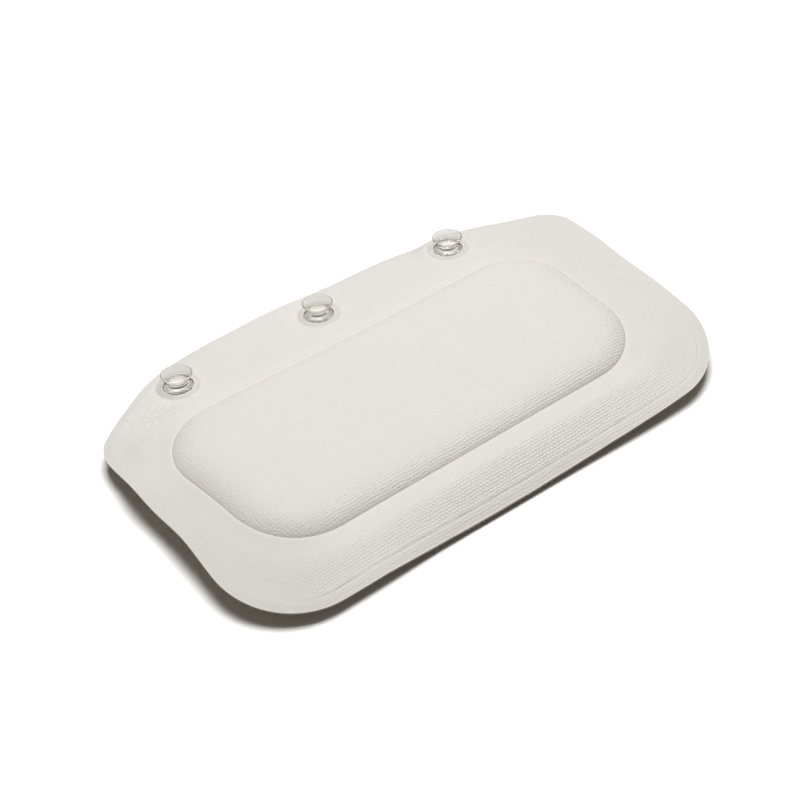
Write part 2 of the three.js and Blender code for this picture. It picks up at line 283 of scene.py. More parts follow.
@dataclass
class Plan:
    """Plan of the pillow, seen from above."""

    pad_length: float = 286.0
    pad_depth: float = 122.0
    pad_front_corner: float = 47.0
    pad_back_corner: float = 38.0
    side_margin: float = 35.0
    front_margin: float = 38.6
    fold_margin: float = 14.0
    front_corner: float = 51.0
    shoulder_setback: float = 4.0
    shoulder_radius: float = 25.0
    flap_depth: float = 38.0
    flap_back_length: float = 212.0
    flap_corner: float = 70.0
    cup_spacing: float = 104.0
    arc_steps: int = 40
    crowd_steps: int = 2001
    crowd_width: float = 15.0
    crowding: float = 2.0
    corner_crowding: float = 0.8

    @property
    def fold_y(self) -> float:
        """Place of the fold line."""
        return self.pad_depth / 2 + self.fold_margin

    @property
    def half_pad(self) -> np.ndarray:
        """Half of the pad's length and depth."""
        return np.array([self.pad_length, self.pad_depth]) / 2

    def outline(self) -> np.ndarray:
        """Outer edge: a polygon of six corners, each rounded by an arc that touches both of its sides.

        Returns:
            Points counter-clockwise, n by 2.
        """
        end = self.pad_length / 2 + self.side_margin
        front = -self.pad_depth / 2 - self.front_margin
        shoulder = self.fold_y - self.shoulder_setback
        back = self.fold_y + self.flap_depth
        half_back = self.flap_back_length / 2
        right = np.array([(end, front), (end, shoulder), (half_back, back)])
        corners = np.concatenate([[(-end, front)], right, right[:0:-1] * [-1, 1]])
        bend = [self.front_corner, self.front_corner, self.shoulder_radius, self.flap_corner]
        radii = np.array([*bend, self.flap_corner, self.shoulder_radius])
        before = np.roll(corners, 1, axis=0) - corners
        after = np.roll(corners, -1, axis=0) - corners
        before /= np.linalg.norm(before, axis=1, keepdims=True)
        after /= np.linalg.norm(after, axis=1, keepdims=True)
        half = np.arccos(np.sum(before * after, axis=1)) / 2
        middle = before + after
        middle /= np.linalg.norm(middle, axis=1, keepdims=True)
        centre = corners + middle * (radii / np.sin(half))[:, None]
        start = corners + before * (radii / np.tan(half))[:, None] - centre
        turn = np.linspace(0.0, 1.0, self.arc_steps)[None, :] * (np.pi - 2 * half)[:, None]
        x = start[:, :1] * np.cos(turn) - start[:, 1:] * np.sin(turn) + centre[:, :1]
        y = start[:, :1] * np.sin(turn) + start[:, 1:] * np.cos(turn) + centre[:, 1:]
        return np.stack([x, y], axis=-1).reshape(-1, 2)

    def reach(self, foot: np.ndarray, out: np.ndarray) -> np.ndarray:
        """Distance from each foot along its direction to the nearest crossing with a side of the outline.

        Args:
            foot: Feet, n by 2.
            out: Unit directions, n by 2.

        Returns:
            Distances.
        """
        start = self.outline()
        side = np.roll(start, -1, axis=0) - start
        gap = start[None] - foot[:, None]
        cross = out[:, None, 0] * side[None, :, 1] - out[:, None, 1] * side[None, :, 0]
        cross = np.where(np.abs(cross) < TINY, TINY, cross)
        along = (gap[..., 0] * side[None, :, 1] - gap[..., 1] * side[None, :, 0]) / cross
        share = (gap[..., 0] * out[:, None, 1] - gap[..., 1] * out[:, None, 0]) / cross
        hit = (along > 0) & (np.abs(share - 0.5) < 0.5 + 1e-6)
        return np.where(hit, along, np.inf).min(axis=1)

    def fold_end(self) -> float:
        """Place along X where the fold line meets the outline."""
        return float(self.reach(np.array([[0.0, self.fold_y]]), X_AXIS[None, :2])[0])

    def inside_pad(self, ground: np.ndarray) -> np.ndarray:
        """How far plan points lie inside the pad's rounded edge, below 0 outside it.

        Args:
            ground: Plan points, n by 2.

        Returns:
            Distances to the edge.
        """
        radius = np.where(ground[:, 1] < 0, self.pad_front_corner, self.pad_back_corner)
        past = np.abs(ground) - (self.half_pad - radius[:, None])
        return radius - np.linalg.norm(past.clip(0, None), axis=1) - past.max(axis=1).clip(None, 0)

    def feet(self, counts: Counts) -> tuple[np.ndarray, np.ndarray]:
        """Feet and directions of the rays round the pad's edge.

        Along the back the rays stand closer near the cups: their density is 1 plus a bell curve for each cup, and
        the rays divide the sum of that density evenly. On the back corners the share of the turn is a power of the
        share of the count.

        Args:
            counts: Rays on the front side, a front corner, an end, a back corner and the back side.

        Returns:
            Feet and unit directions, each n by 2.
        """
        half = self.half_pad
        front, back = half - self.pad_front_corner, half - self.pad_back_corner
        at_front, front_turn, at_end, back_turn, at_back = (np.arange(n) / n for n in counts)
        x = np.linspace(back[0], -back[0], self.crowd_steps)
        crowd = sum(bell(x - s.value * self.cup_spacing, self.crowd_width) for s in Side)
        density = np.cumsum(1 + self.crowding * crowd)
        density = (density - density[0]) / (density[-1] - density[0])
        at_back = np.interp(at_back, density, np.linspace(0.0, 1.0, len(x)))
        first_turn = back_turn**self.corner_crowding
        last_turn = (1 - back_turn) ** self.corner_crowding
        quarter = np.pi / 2
        mirror = np.array([-1.0, 1.0])
        runs = [
            side_rays([-front[0], -half[1]], [front[0], -half[1]], -quarter, at_front),
            arc_rays(-front * mirror, self.pad_front_corner, quarter * (front_turn - 1)),
            side_rays([half[0], -front[1]], [half[0], back[1]], 0.0, at_end),
            arc_rays(back, self.pad_back_corner, quarter * first_turn),
            side_rays([back[0], half[1]], [-back[0], half[1]], quarter, at_back),
            arc_rays(back * mirror, self.pad_back_corner, quarter * (2 - last_turn)),
            side_rays([-half[0], back[1]], [-half[0], -front[1]], 2 * quarter, at_end),
            arc_rays(-front, self.pad_front_corner, quarter * (2 + front_turn)),
        ]
        return np.concatenate([r[0] for r in runs]), np.concatenate([r[1] for r in runs])


@dataclass
class Section:
    """Sheets, welds and padding, in section."""

    sheet: float = 1.2
    clearance: float = 0.3
    channel: float = 9.0
    channel_back: float = 5.5
    hem: float = 7.5
    hem_back: float = 0.8
    mitre: float = 2.85
    mitre_turn: float = 0.4
    crown_middle: float = 5.4
    crown_end: float = 6.9
    crown_span: tuple[float, float] = (30.0, 118.0)
    front_fullness: float = 6.2
    end_fullness: float = 4.6
    bulge: float = 12.15
    bulge_fullness: float = 2.2
    flat_cut: float = 0.5
    puff: float = 0.03
    puff_lean: float = 0.7
    border_belly: float = 4.0
    end_lift: float = 6.0
    lift_powers: tuple[float, float] = (1.25, 1.6)
    flap_droop: float = 7.0
    droop_ease: float = 3.0
    foot_groove: float = 0.25
    foot_groove_at: float = 0.3
    foot_groove_width: float = 0.6
    seam_step: float = 0.35
    seam_width: float = 0.5
    seam_front: Ramp = Ramp(0.75, 1.0)
    seam_right: Ramp = Ramp(0.2, 0.8, 0.0, 0.5)
    seam_right_end: Ramp = Ramp(-40.0, 10.0, 1.0, 0.0)
    seam_waver: tuple[float, float, float, float] = (0.35, 0.21, 0.053, 1.0)
    fold_line: float = 0.3
    fold_line_width: float = 1.1
    rim_thinning: float = 0.75
    rim_width: float = 6.0
    rim_meeting: Ramp = Ramp(1.0, 5.0, 0.48, 0.0)

    @property
    def weld_bottom(self) -> float:
        """Underside of the welds."""
        return self.bulge - self.flat_cut

    @property
    def weld_top(self) -> float:
        """Upper side of the welds."""
        return self.weld_bottom + 2 * self.sheet + self.clearance

    def crown(self, x: np.ndarray) -> np.ndarray:
        """Height of the pad over its weld: lower in the middle, where a head presses it, than near its ends."""
        return mix(self.crown_middle, self.crown_end, smoothstep(np.abs(x), *self.crown_span))

    def thinned(self, to_edge: np.ndarray) -> np.ndarray:
        """How much a sheet thins towards its outer edge."""
        return self.rim_thinning * smoothstep(-to_edge, -self.rim_width, 0.0)

    def seam_drop(self, x: np.ndarray) -> np.ndarray:
        """Drop at the hem's seam, which wavers along X by the product of two sines."""
        share, quick, slow, start = self.seam_waver
        return self.seam_step * (1 + share * np.sin(quick * x) * np.sin(slow * x + start))


@dataclass
class Settling:
    """How the soft border and flap of this pillow have settled, on top of its plan and section.

    Each bump is a bell curve in plan: centre x, y, spread x, y, and the shift in x, y, z at its middle.
    The wave gives the height of the flap's free edge at places along the fold, and the sag that of the front edge.
    The pucker is a centre x, y, a spread, a pitch and a height.
    """

    bumps: tuple[tuple[float, ...], ...] = (
        (-180.0, 5.0, 26.0, 42.0, 4.4, 0.0, -1.6),
        (-172.0, 62.0, 20.0, 18.0, 5.2, 0.0, -1.0),
        (-60.0, -99.0, 24.0, 22.0, 0.0, 0.6, 0.0),
        (-160.0, -92.0, 34.0, 28.0, 0.0, 0.0, -3.0),
        (170.0, -90.0, 26.0, 26.0, 0.6, 0.3, -2.5),
        (20.0, -104.0, 38.0, 26.0, 0.0, -0.6, 0.0),
        (104.0, -104.0, 38.0, 26.0, 0.0, -2.1, 0.0),
        (180.0, -5.0, 26.0, 42.0, 1.3, 0.0, 0.0),
        (172.0, 62.0, 26.0, 22.0, 2.0, 0.0, 4.5),
        (-178.0, 34.0, 12.0, 9.0, 0.0, 0.0, 1.6),
        (-178.0, -20.0, 12.0, 9.0, 0.0, 0.0, 1.2),
        (-178.0, 8.0, 12.0, 8.0, 0.0, 0.0, -0.9),
        (-143.0, 45.0, 20.0, 28.0, -4.0, 0.5, 0.0),
        (-143.0, -22.0, 20.0, 26.0, 1.8, 0.0, 0.0),
        (-95.0, 61.0, 40.0, 9.0, 0.0, 2.0, 0.0),
    )
    wave: Knots = (
        (-168.0, -3.0), (-150.0, -2.0), (-123.0, 2.0), (-104.0, -1.0), (-75.0, 2.5), (-20.0, 3.5), (0.0, 2.0),
        (20.0, -0.5), (60.0, -1.0), (88.0, -4.0), (104.0, -8.0), (116.0, -3.0), (134.0, 3.3), (168.0, 3.3),
    )
    wave_power: float = 1.6
    sag: Knots = (
        (-150.0, 4.3), (-100.0, 4.7), (-80.0, 6.6), (-60.0, 8.2), (-25.0, 9.0), (15.0, 8.6), (41.0, 7.8),
        (66.0, 6.5), (89.0, 5.0), (113.0, 3.7), (150.0, 3.0),
    )
    soften: float = 9.0
    reach: float = 200.0
    step: float = 0.5
    kernel_steps: int = 60
    pucker: tuple[float, ...] = (-118.0, 52.5, 4.0, 2.4, 0.4)
    cup_keep: tuple[float, float] = (14.5, 25.0)

    def shift(self, ground: np.ndarray) -> np.ndarray:
        """Shift of plan points: the sum of the bumps, each exp of minus half the squared distance in spreads.

        Args:
            ground: Plan points, any shape by 2.

        Returns:
            Shifts, the same shape by 3.
        """
        bumps = np.array(self.bumps)
        away = (ground[..., None, :] - bumps[:, 0:2]) / bumps[:, 2:4]
        return np.exp(-0.5 * np.sum(away**2, axis=-1)) @ bumps[:, 4:7]

    def along(self, knots: Knots, x: np.ndarray) -> np.ndarray:
        """Heights at places along X: the knots joined by straight lines, softened by a bell curve.

        Args:
            knots: Places and heights.
            x: Places.

        Returns:
            Heights.
        """
        at, height = np.array(knots).T
        n = self.kernel_steps
        fine = np.linspace(-self.reach, self.reach, round(2 * self.reach / self.step) + 1)
        kernel = np.exp(-0.5 * (np.arange(-n, n + 1) * self.step / self.soften) ** 2)
        rough = np.pad(np.interp(fine, at, height), n, mode="edge")
        return np.interp(x, fine, np.convolve(rough, kernel / kernel.sum(), mode="valid"))

    def puckers(self, ground: np.ndarray) -> np.ndarray:
        """Height of the small gathers at a corner of the pad: a cosine along X, faded by a bell curve.

        Args:
            ground: Plan points, any shape by 2.

        Returns:
            Heights.
        """
        x, y, spread, pitch, height = self.pucker
        away = ground - np.array([x, y])
        fade = np.exp(-0.5 * np.sum(away**2, axis=-1) / spread**2)
        return height * fade * np.cos(2 * np.pi * away[..., 0] / pitch)

    def flap_wave(self, x: np.ndarray, share: np.ndarray, from_cup: np.ndarray) -> np.ndarray:
        """Height of the flap's wave, weighted by a power of the share of the flap's depth.

        It fades out near a cup, so that the sheet stays flat on the cup's flange.

        Args:
            x: Place along the fold.
            share: Share of the flap's depth, 0 at the fold.
            from_cup: Distance to the nearest cup's axis.

        Returns:
            Heights.
        """
        clear = smoothstep(from_cup, *self.cup_keep)
        return self.along(self.wave, x) * np.clip(share, 0.0, 1.0) ** self.wave_power * clear


@dataclass
class Wear:
    """Where the front sheet's ribs are strong or faint, and where shade is painted into its tone, darker or
    lighter.
    """

    pad_edge: Ramp = Ramp(0.2, 1.4)
    pad_inside: Ramp = Ramp(6.0, 24.0, 1.0, 0.3)
    pad_back: Ramp = Ramp(0.8, 1.0, 1.0, 0.3)
    pad_along: Ramp = Ramp(-150.0, -30.0, 0.5, 1.15)
    pad_top: float = 0.27
    border_start: Ramp = Ramp(0.0, 4.0)
    border_hem: Ramp = Ramp(-0.8, 0.1)
    border_along: Ramp = Ramp(-100.0, 40.0, 0.9, 1.5)
    border_left: Ramp = Ramp(-143.0, -105.0, 0.35, 1.0)
    border_right: Ramp = Ramp(90.0, 143.0, 1.0, 0.5)
    hem_worn: float = 0.5
    ridge_worn: float = 0.9
    flap_start: Ramp = Ramp(-3.0, 3.0)
    flap_ends: Ramp = Ramp(106.0, 122.0, 0.0, 0.6)
    # A crinkled patch at the back left; its tone adds painted shade over the patch.
    crinkle_at: tuple[float, float] = (-125.0, 73.0)
    crinkle_spread: tuple[float, float] = (15.0, 9.0)
    crinkle_light_and_shade: float = 1.8
    # Painted shade: low_start darkens the channel, border and hem against the pad, left and left_back make it
    # darker on the left end, and front takes it off along the front.
    low_start: Ramp = Ramp(-1.0, 2.0)
    left: Ramp = Ramp(90.0, 140.0)
    left_back: Ramp = Ramp(0.0, 40.0, 1.0, 0.4)
    left_painted_shade: float = 2.0
    front: Ramp = Ramp(0.75, 1.0)
    # Painted highlight: a thin lighter line along the back channel, where the raised ridge catches light.
    weld_at: float = 0.8
    weld_width: float = 0.7
    weld_back: Ramp = Ramp(0.9, 1.0)
    weld_line_highlight: float = 1.1
    cup_reach: float = 40.0


@dataclass
class CupSizes:
    """Sizes of a suction cup along its own axis, in the flap's frame.

    The lip is given by six points on its section, from the outside in: how far each lies inside and below the rim.
    """

    setback: float = 15.7
    flange_radius: float = 12.5
    flange: float = 0.8
    edge_round: float = 0.3
    hole_radius: float = 9.6
    emboss: float = 0.8
    emboss_span: tuple[float, float] = (12.5, 14.0)
    neck_foot_radius: float = 7.8
    neck_fillet: float = 1.0
    neck_bend: tuple[float, float] = (0.7, 0.9)
    neck_radius: float = 6.6
    neck_height: float = 3.2
    bell_floor_radius: float = 5.3
    bell_floor: float = 1.8
    bell_depth: float = 4.9
    bell_flare: float = 0.7
    bell_inside: tuple[float, float] = (-0.1, 1.5)
    rim_radius: float = 9.6
    pole_radius: float = 0.3
    floor_gap: float = 0.4
    lip: Knots = ((0.1, 0.7), (-0.1, 0.0), (0.35, 0.0), (0.6, 0.0), (0.8, 0.0), (0.95, 0.25))


@dataclass
class Grid:
    """One face of a sheet: rays by stations, with what the finish needs to know about each point."""

    points: np.ndarray
    pole: np.ndarray
    cloth: np.ndarray
    masks: dict[str, np.ndarray]

    def normals(self) -> np.ndarray:
        """Upward unit normals: the cross product of the steps along a ray and round the pad.

        Returns:
            Normals in the shape of the points.
        """
        along = np.gradient(self.points, axis=1)
        around = np.roll(self.points, -1, axis=0) - np.roll(self.points, 1, axis=0)
        normal = np.cross(along, around)
        return normal / np.maximum(np.linalg.norm(normal, axis=-1, keepdims=True), TINY)


@dataclass
class PadSwell:
    """How the foam swells the head pad's face: shifts at the points of a square grid in plan."""

    corner: np.ndarray
    cell: float
    shift: np.ndarray

    def at(self, ground: np.ndarray) -> np.ndarray:
        """Shift at plan points, by straight mixes between the four grid points round each.

        Args:
            ground: Plan points, any shape by 2.

        Returns:
            Shifts, the same shape by 3.
        """
        last = np.array(self.shift.shape[:2]) - 1.001
        place = np.clip((ground - self.corner) / self.cell, 0.0, last)
        low = place.astype(int)
        i, j = low[..., 0], low[..., 1]
        along, across = np.split(place - low, 2, axis=-1)
        near = mix(self.shift[i, j], self.shift[i + 1, j], along)
        return mix(near, mix(self.shift[i, j + 1], self.shift[i + 1, j + 1], along), across)


@dataclass
class PadCloth:
    """Cloth simulation of the head pad's face: a sheet held along its weld and pressed from below."""

    cell: float = 3.5
    spare_cells: int = 5
    held_share: float = 0.6
    frames: int = 20
    pressure: float = 4.0
    cap: float = 0.4

    def swell(self, plan: Plan, section: Section, rise: float) -> PadSwell:
        """Lay square cells over the pad on the height of its crown, press them, and read how far they moved.

        The foam keeps the sheet from sinking, so shifts downwards are left out. Each other shift s is capped to
        cap times tanh(s / cap), and the shifts are softened by weights of 1, 2, 1.

        Args:
            plan: Plan of the pillow.
            section: Its section.
            rise: Width of the pad's rounded edge.

        Returns:
            The shifts in millimetres.
        """
        counts = np.ceil(2 * plan.half_pad / self.cell).astype(int) + self.spare_cells
        corner = -self.cell * (counts - 1) / 2
        steps = np.stack(np.meshgrid(*(np.arange(n) for n in counts), indexing="ij"), axis=-1)
        ground = corner + self.cell * steps.reshape(-1, 2)
        depth = plan.inside_pad(ground)
        inset = np.clip(depth / rise, 0.0, 1.0)
        height = section.crown(ground[:, 0]) * (1 - (1 - inset) ** section.front_fullness)
        number = np.arange(len(ground)).reshape(counts)
        cells = [number[:-1, :-1], number[1:, :-1], number[1:, 1:], number[:-1, 1:]]
        cells = np.stack(cells, axis=-1).reshape(-1, 4)
        used, faces = np.unique(cells[(depth[cells] > -self.cell).all(axis=1)], return_inverse=True)
        points = np.column_stack([ground, height])[used] * MM
        held = np.flatnonzero(depth[used] < self.held_share * self.cell)
        moved = (self.press(points, faces.reshape(-1, 4), held) - points) / MM
        moved *= smoothstep(moved[:, 2:], 0.0, self.cap)
        far = np.maximum(np.linalg.norm(moved, axis=1, keepdims=True), TINY)
        shift = np.zeros((len(ground), 3))
        shift[used] = moved * self.cap * np.tanh(far / self.cap) / far
        shift = shift.reshape(*counts, 3)
        for axis in (0, 1):
            shift = (np.roll(shift, 1, axis) + 2 * shift + np.roll(shift, -1, axis)) / 4
        LOG.info("pad swells by up to %.2f mm, capped from %.2f mm", np.abs(shift).max(), far.max())
        return PadSwell(corner, self.cell, shift)

    def press(self, points: np.ndarray, faces: np.ndarray, held: np.ndarray) -> np.ndarray:
        """Run the simulation on a cloth of its own, and remove that cloth again.

        Args:
            points: Vertices in metres, n by 3.
            faces: Quads.
            held: Numbers of the vertices that don't move.

        Returns:
            The vertices after the last frame, in metres.
        """
        cloth = write_mesh("pad_cloth", points, [faces])
        group = cloth.vertex_groups.new(name="held")
        group.add(held.tolist(), 1.0, "REPLACE")
        swell = cloth.modifiers.new("swell", "CLOTH")
        swell.settings.vertex_group_mass = group.name
        swell.settings.use_pressure = True
        swell.settings.uniform_pressure_force = self.pressure
        swell.settings.effector_weights.gravity = 0.0
        swell.point_cache.frame_end = self.frames
        scene = bpy.context.scene
        for frame in range(1, self.frames + 1):
            scene.frame_set(frame)
        after = np.empty(points.size, dtype=np.float32)
        posed = cloth.evaluated_get(bpy.context.evaluated_depsgraph_get())
        posed.data.vertices.foreach_get("co", after)
        bpy.data.objects.remove(cloth)
        scene.frame_set(1)
        return after.reshape(-1, 3)


@dataclass
class PillowShape:
    """The pillow's two faces as functions of a ray round the pad and a station along it."""

    plan: Plan = field(default_factory=Plan)
    section: Section = field(default_factory=Section)
    settling: Settling = field(default_factory=Settling)
    wear: Wear = field(default_factory=Wear)
    cups: CupSizes = field(default_factory=CupSizes)
    swell: PadSwell | None = None
    dome_rings: int = 7
    pole_ring: float = 0.04
    wall_rings: int = 24
    wall_reach: float = 0.93
    wall_crowding: float = 2.4
    channel_rings: int = 5
    border_rings: int = 24
    border_crowding: float = 1.7
    hem_rings: int = 5
    flap_rings: int = 33

    @property
    def pad_rise(self) -> float:
        """Width of the pad's rounded edge."""
        return min(self.plan.pad_front_corner, self.plan.pad_back_corner)

    def rays(self, counts: Counts) -> Rays:
        """Rays with the sizes of the section along each.

        The flat weld, the hem and the padding ease from the border's sizes to the ridge's between the ray that
        meets the fold's end and the ray square to the fold. The two ends curl up, and the front edge sags.

        Args:
            counts: Rays on the front side, a front corner, an end, a back corner and the back side.

        Returns:
            The rays.
        """
        plan, s = self.plan, self.section
        foot, out = plan.feet(counts)
        edge = plan.reach(foot, out)
        arc = plan.half_pad - plan.pad_back_corner
        corner = math.atan2(plan.fold_y - arc[1], plan.fold_end() - arc[0])
        rise = np.arcsin(np.clip(out[:, 1], -1.0, 1.0))
        on_fold = rise > corner
        slope = np.where(on_fold, out[:, 1], 1.0)
        fold = np.where(on_fold, (plan.fold_y - foot[:, 1]) / slope, edge)
        ridge = smoothstep(rise, corner, np.pi / 2)
        mitre = np.where(on_fold, s.mitre * smoothstep(rise, corner, corner + s.mitre_turn) / slope, 0.0)
        end = 1 - smoothstep(rise, 0.0, corner)
        droop = self.settling.along(self.settling.sag, foot[:, 0]) * np.minimum(out[:, 1], 0.0) ** 2
        right = s.seam_right.at(out[:, 0]) * s.seam_right_end.at(foot[:, 1])
        channel = mix(s.channel, s.channel_back, ridge)
        seam = fold - mitre - mix(s.hem, s.hem_back, ridge)
        return Rays(
            foot=foot,
            out=out,
            edge=np.maximum(edge, fold),
            fold=fold,
            on_fold=on_fold,
            seam=seam,
            channel=channel,
            puff=s.puff * (seam - channel),
            lean=mix(s.puff_lean, 1.0, ridge),
            belly=s.border_belly * end,
            lift=s.end_lift * out[:, 0] ** 2 * end - droop,
            stitched=np.maximum(s.seam_front.at(-out[:, 1]), right),
            ridge=ridge,
        )

    def stations(self, rays: Rays, side: Face) -> tuple[np.ndarray, np.ndarray]:
        """Distances from the pad's edge along each ray, and the height of the padding there.

        From the pad outwards: the rounded edge, the channel, the border, the hem, and behind the fold the flap.
        With t the share of its width, the edge is the crown times 1 - (1 - t)^fullness on the front, and on the
        back the bulge times the root of that, as in a superellipse. The border is puff times the squared sine of
        pi t^lean on the front, and belly times the sine of pi t on the back.

        Args:
            rays: The rays.
            side: Which sheet.

        Returns:
            Distances and heights, each rays by stations.
        """
        s, count = self.section, len(rays.edge)
        inset = self.wall_reach * np.linspace(1.0, 0.0, self.wall_rings) ** self.wall_crowding
        across = 1 - np.linspace(1.0, 0.0, self.border_rings + 1)[1:] ** self.border_crowding
        if side is Face.FRONT:
            fullness = mix(s.front_fullness, s.end_fullness, np.abs(rays.out[:, :1]))
            place = rays.foot[:, :1] - rays.out[:, :1] * self.pad_rise * inset
            crown = s.crown(place) * (1 - (1 - inset) ** fullness)
            rounded = rays.puff[:, None] * np.sin(np.pi * across ** rays.lean[:, None]) ** 2
        else:
            power = s.bulge_fullness
            crown = np.tile(s.bulge * (1 - (1 - inset) ** power) ** (1 / power), (count, 1))
            rounded = rays.belly[:, None] * np.sin(np.pi * across)
        tail = np.arange(1, self.hem_rings + self.flap_rings + 1)
        to_fold = np.clip(tail / self.hem_rings, 0, 1)
        past_fold = np.clip((tail - self.hem_rings) / self.flap_rings, 0, 1)
        seam, fold, edge, channel = (v[:, None] for v in (rays.seam, rays.fold, rays.edge, rays.channel))
        folded = seam + (fold - seam) * to_fold + (edge - fold) * past_fold
        plain = seam + (edge - seam) * (tail / len(tail))
        wall_d = np.tile(-self.pad_rise * inset, (count, 1))
        channel_d = channel * np.arange(1, self.channel_rings + 1) / self.channel_rings
        border_d = channel + (seam - channel) * across
        tail_d = np.where(rays.on_fold[:, None], folded, plain)
        distance = np.concatenate([wall_d, channel_d, border_d, tail_d], axis=1)
        return distance, np.concatenate([crown, 0 * channel_d, rounded, 0 * tail_d], axis=1)

    def heights(self, rays: Rays, side: Face, distance: np.ndarray, body: np.ndarray) -> np.ndarray:
        """Heights along the rays, with the flap level.

        The padding and a raised line along the fold leave the weld on the sheet's own side, less the thinning of
        the rim and, on the front, a groove at the pad's foot. Both sheets step down at the hem's seam. The lift of
        the border is weighted by a power of the share of the way from the channel to the fold.

        Args:
            rays: The rays.
            side: Which sheet.
            distance: Distances from the pad's edge.
            body: Heights of the padding.

        Returns:
            Heights over the surface that the pillow rests on.
        """
        s = self.section
        front = side is Face.FRONT
        seam, fold, channel = (v[:, None] for v in (rays.seam, rays.fold, rays.channel))
        past_seam = smoothstep(distance - seam, -s.seam_width, s.seam_width) * rays.stitched[:, None]
        line = s.fold_line * bell(distance - fold, s.fold_line_width) * rays.on_fold[:, None]
        groove = s.foot_groove * bell(distance - s.foot_groove_at, s.foot_groove_width) * front
        raised = body + line - s.thinned(rays.edge[:, None] - distance) - groove
        z = (s.weld_top + raised if front else s.weld_bottom - raised) - s.seam_drop(rays.foot[:, :1]) * past_seam
        share = ((distance - channel) / (fold - channel)).clip(0, 1)
        return z + rays.lift[:, None] * share ** mix(*s.lift_powers, rays.out[:, :1] ** 2)

    def marks(self, rays: Rays, distance: np.ndarray, ground: np.ndarray) -> dict[str, np.ndarray]:
        """Masks for the finish: how strong the ribs are, where shade and a highlight line are painted on the
        sheet, and where it is crinkled.

        Args:
            rays: The rays.
            distance: Distances from the pad's edge.
            ground: Plan points there.

        Returns:
            Values by name, each rays by stations, with the pad's top in front.
        """
        w = self.wear
        foot_x, foot_y = rays.foot[:, :1], rays.foot[:, 1:]
        out_y, fold = rays.out[:, 1:], rays.fold[:, None]
        ridge = 1 - w.ridge_worn * rays.ridge[:, None]
        pad = w.pad_edge.at(-distance) * w.pad_inside.at(-distance) * w.pad_back.at(out_y) * w.pad_along.at(foot_x)
        start = w.border_start.at(distance - rays.channel[:, None])
        hem = np.where(rays.on_fold, 1.0, w.hem_worn)[:, None] * w.border_hem.at(distance - rays.seam[:, None])
        along = w.border_along.at(foot_x) * w.border_left.at(foot_x) * w.border_right.at(foot_x)
        border = start * (1 - hem) * ridge * along
        flap = rays.on_fold[:, None] * w.flap_start.at(distance - fold) * w.flap_ends.at(np.abs(ground[..., 0]))
        patch = (ground - np.array(w.crinkle_at)) / np.array(w.crinkle_spread)
        crinkle = np.exp(-0.5 * np.sum(patch**2, axis=-1)) * start
        # Painted shade on the channel, border and hem, darker on the left end and none along the front.
        left = w.left.at(-foot_x) * w.left_back.at(foot_y)
        low = w.low_start.at(distance) * ridge * (distance <= fold)
        low *= 1 + w.left_painted_shade * left - w.front.at(-out_y) * (1 - left)
        # Painted highlight: a thin lighter line along the back channel.
        weld = bell(distance - w.weld_at * rays.channel[:, None], w.weld_width) * w.weld_back.at(out_y)
        ribs = np.max([pad, border, flap], axis=0)
        # The shade mask is painted shade: that of the channel, border, hem, flap ends and crinkled patch, less the
        # painted highlight line.
        shade = np.max([low, flap, w.crinkle_light_and_shade * crinkle], axis=0) - w.weld_line_highlight * weld
        top = ((0, 0), (self.dome_rings, 0))
        values = (("ribs", ribs, w.pad_top), ("shade", shade, 0.0), ("crinkle", crinkle, 0.0))
        return {name: np.pad(mask, top, constant_values=fill) for name, mask, fill in values}

    def face(self, rays: Rays, side: Face) -> Grid:
        """Outer face of a sheet.

        The top of the pad is made of scaled copies of the innermost ring, and the stations follow outside it. The
        cloth coordinates add to each point the extra length of its ray over its plan. The back is cut flat where
        the pillow lies.

        Args:
            rays: The rays.
            side: Which sheet.

        Returns:
            Points in millimetres, with cloth coordinates and masks.
        """
        distance, body = self.stations(rays, side)
        z = self.heights(rays, side, distance, body)
        step_d = np.diff(distance, axis=1, prepend=distance[:, :1])
        step_z = np.diff(z, axis=1, prepend=z[:, :1])
        excess = np.cumsum(np.hypot(step_d, step_z) - np.abs(step_d), axis=1)
        ground = rays.foot[:, None] + rays.out[:, None] * distance[..., None]
        masks = self.marks(rays, distance, ground)
        scale = np.concatenate([[self.pole_ring], np.linspace(0.0, 1.0, self.dome_rings + 1)[1:-1]])
        top = ground[:, :1] * scale[None, :, None]
        cloth = np.concatenate([top, ground + rays.out[:, None] * excess[..., None]], axis=1)
        ground = np.concatenate([top, ground], axis=1)
        if side is Face.FRONT:
            z = np.concatenate([self.section.weld_top + self.section.crown(top[..., 0]), z], axis=1)
        else:
            z = np.maximum(np.concatenate([np.repeat(z[:, :1], len(scale), axis=1), z], axis=1), 0.0)
        points = np.concatenate([ground, z[..., None]], axis=-1)
        pole = np.array([0.0, 0.0, float(z[:, 0].mean())])
        if side is Face.FRONT and self.swell is not None:
            points = points + self.swell.at(ground)
            pole = pole + self.swell.at(np.zeros(2))
        masks["from_cup"] = np.minimum(self.from_cup(ground), self.wear.cup_reach) * MM
        return Grid(self.settle(points, rays, side), pole, cloth, masks)

    def from_cup(self, ground: np.ndarray) -> np.ndarray:
        """Distance of plan points to the nearest cup's axis, with the flap level."""
        along = ground[..., 1] - self.plan.fold_y - self.cups.setback
        return np.min([np.hypot(ground[..., 0] - c.value * self.plan.cup_spacing, along) for c in Side], axis=0)

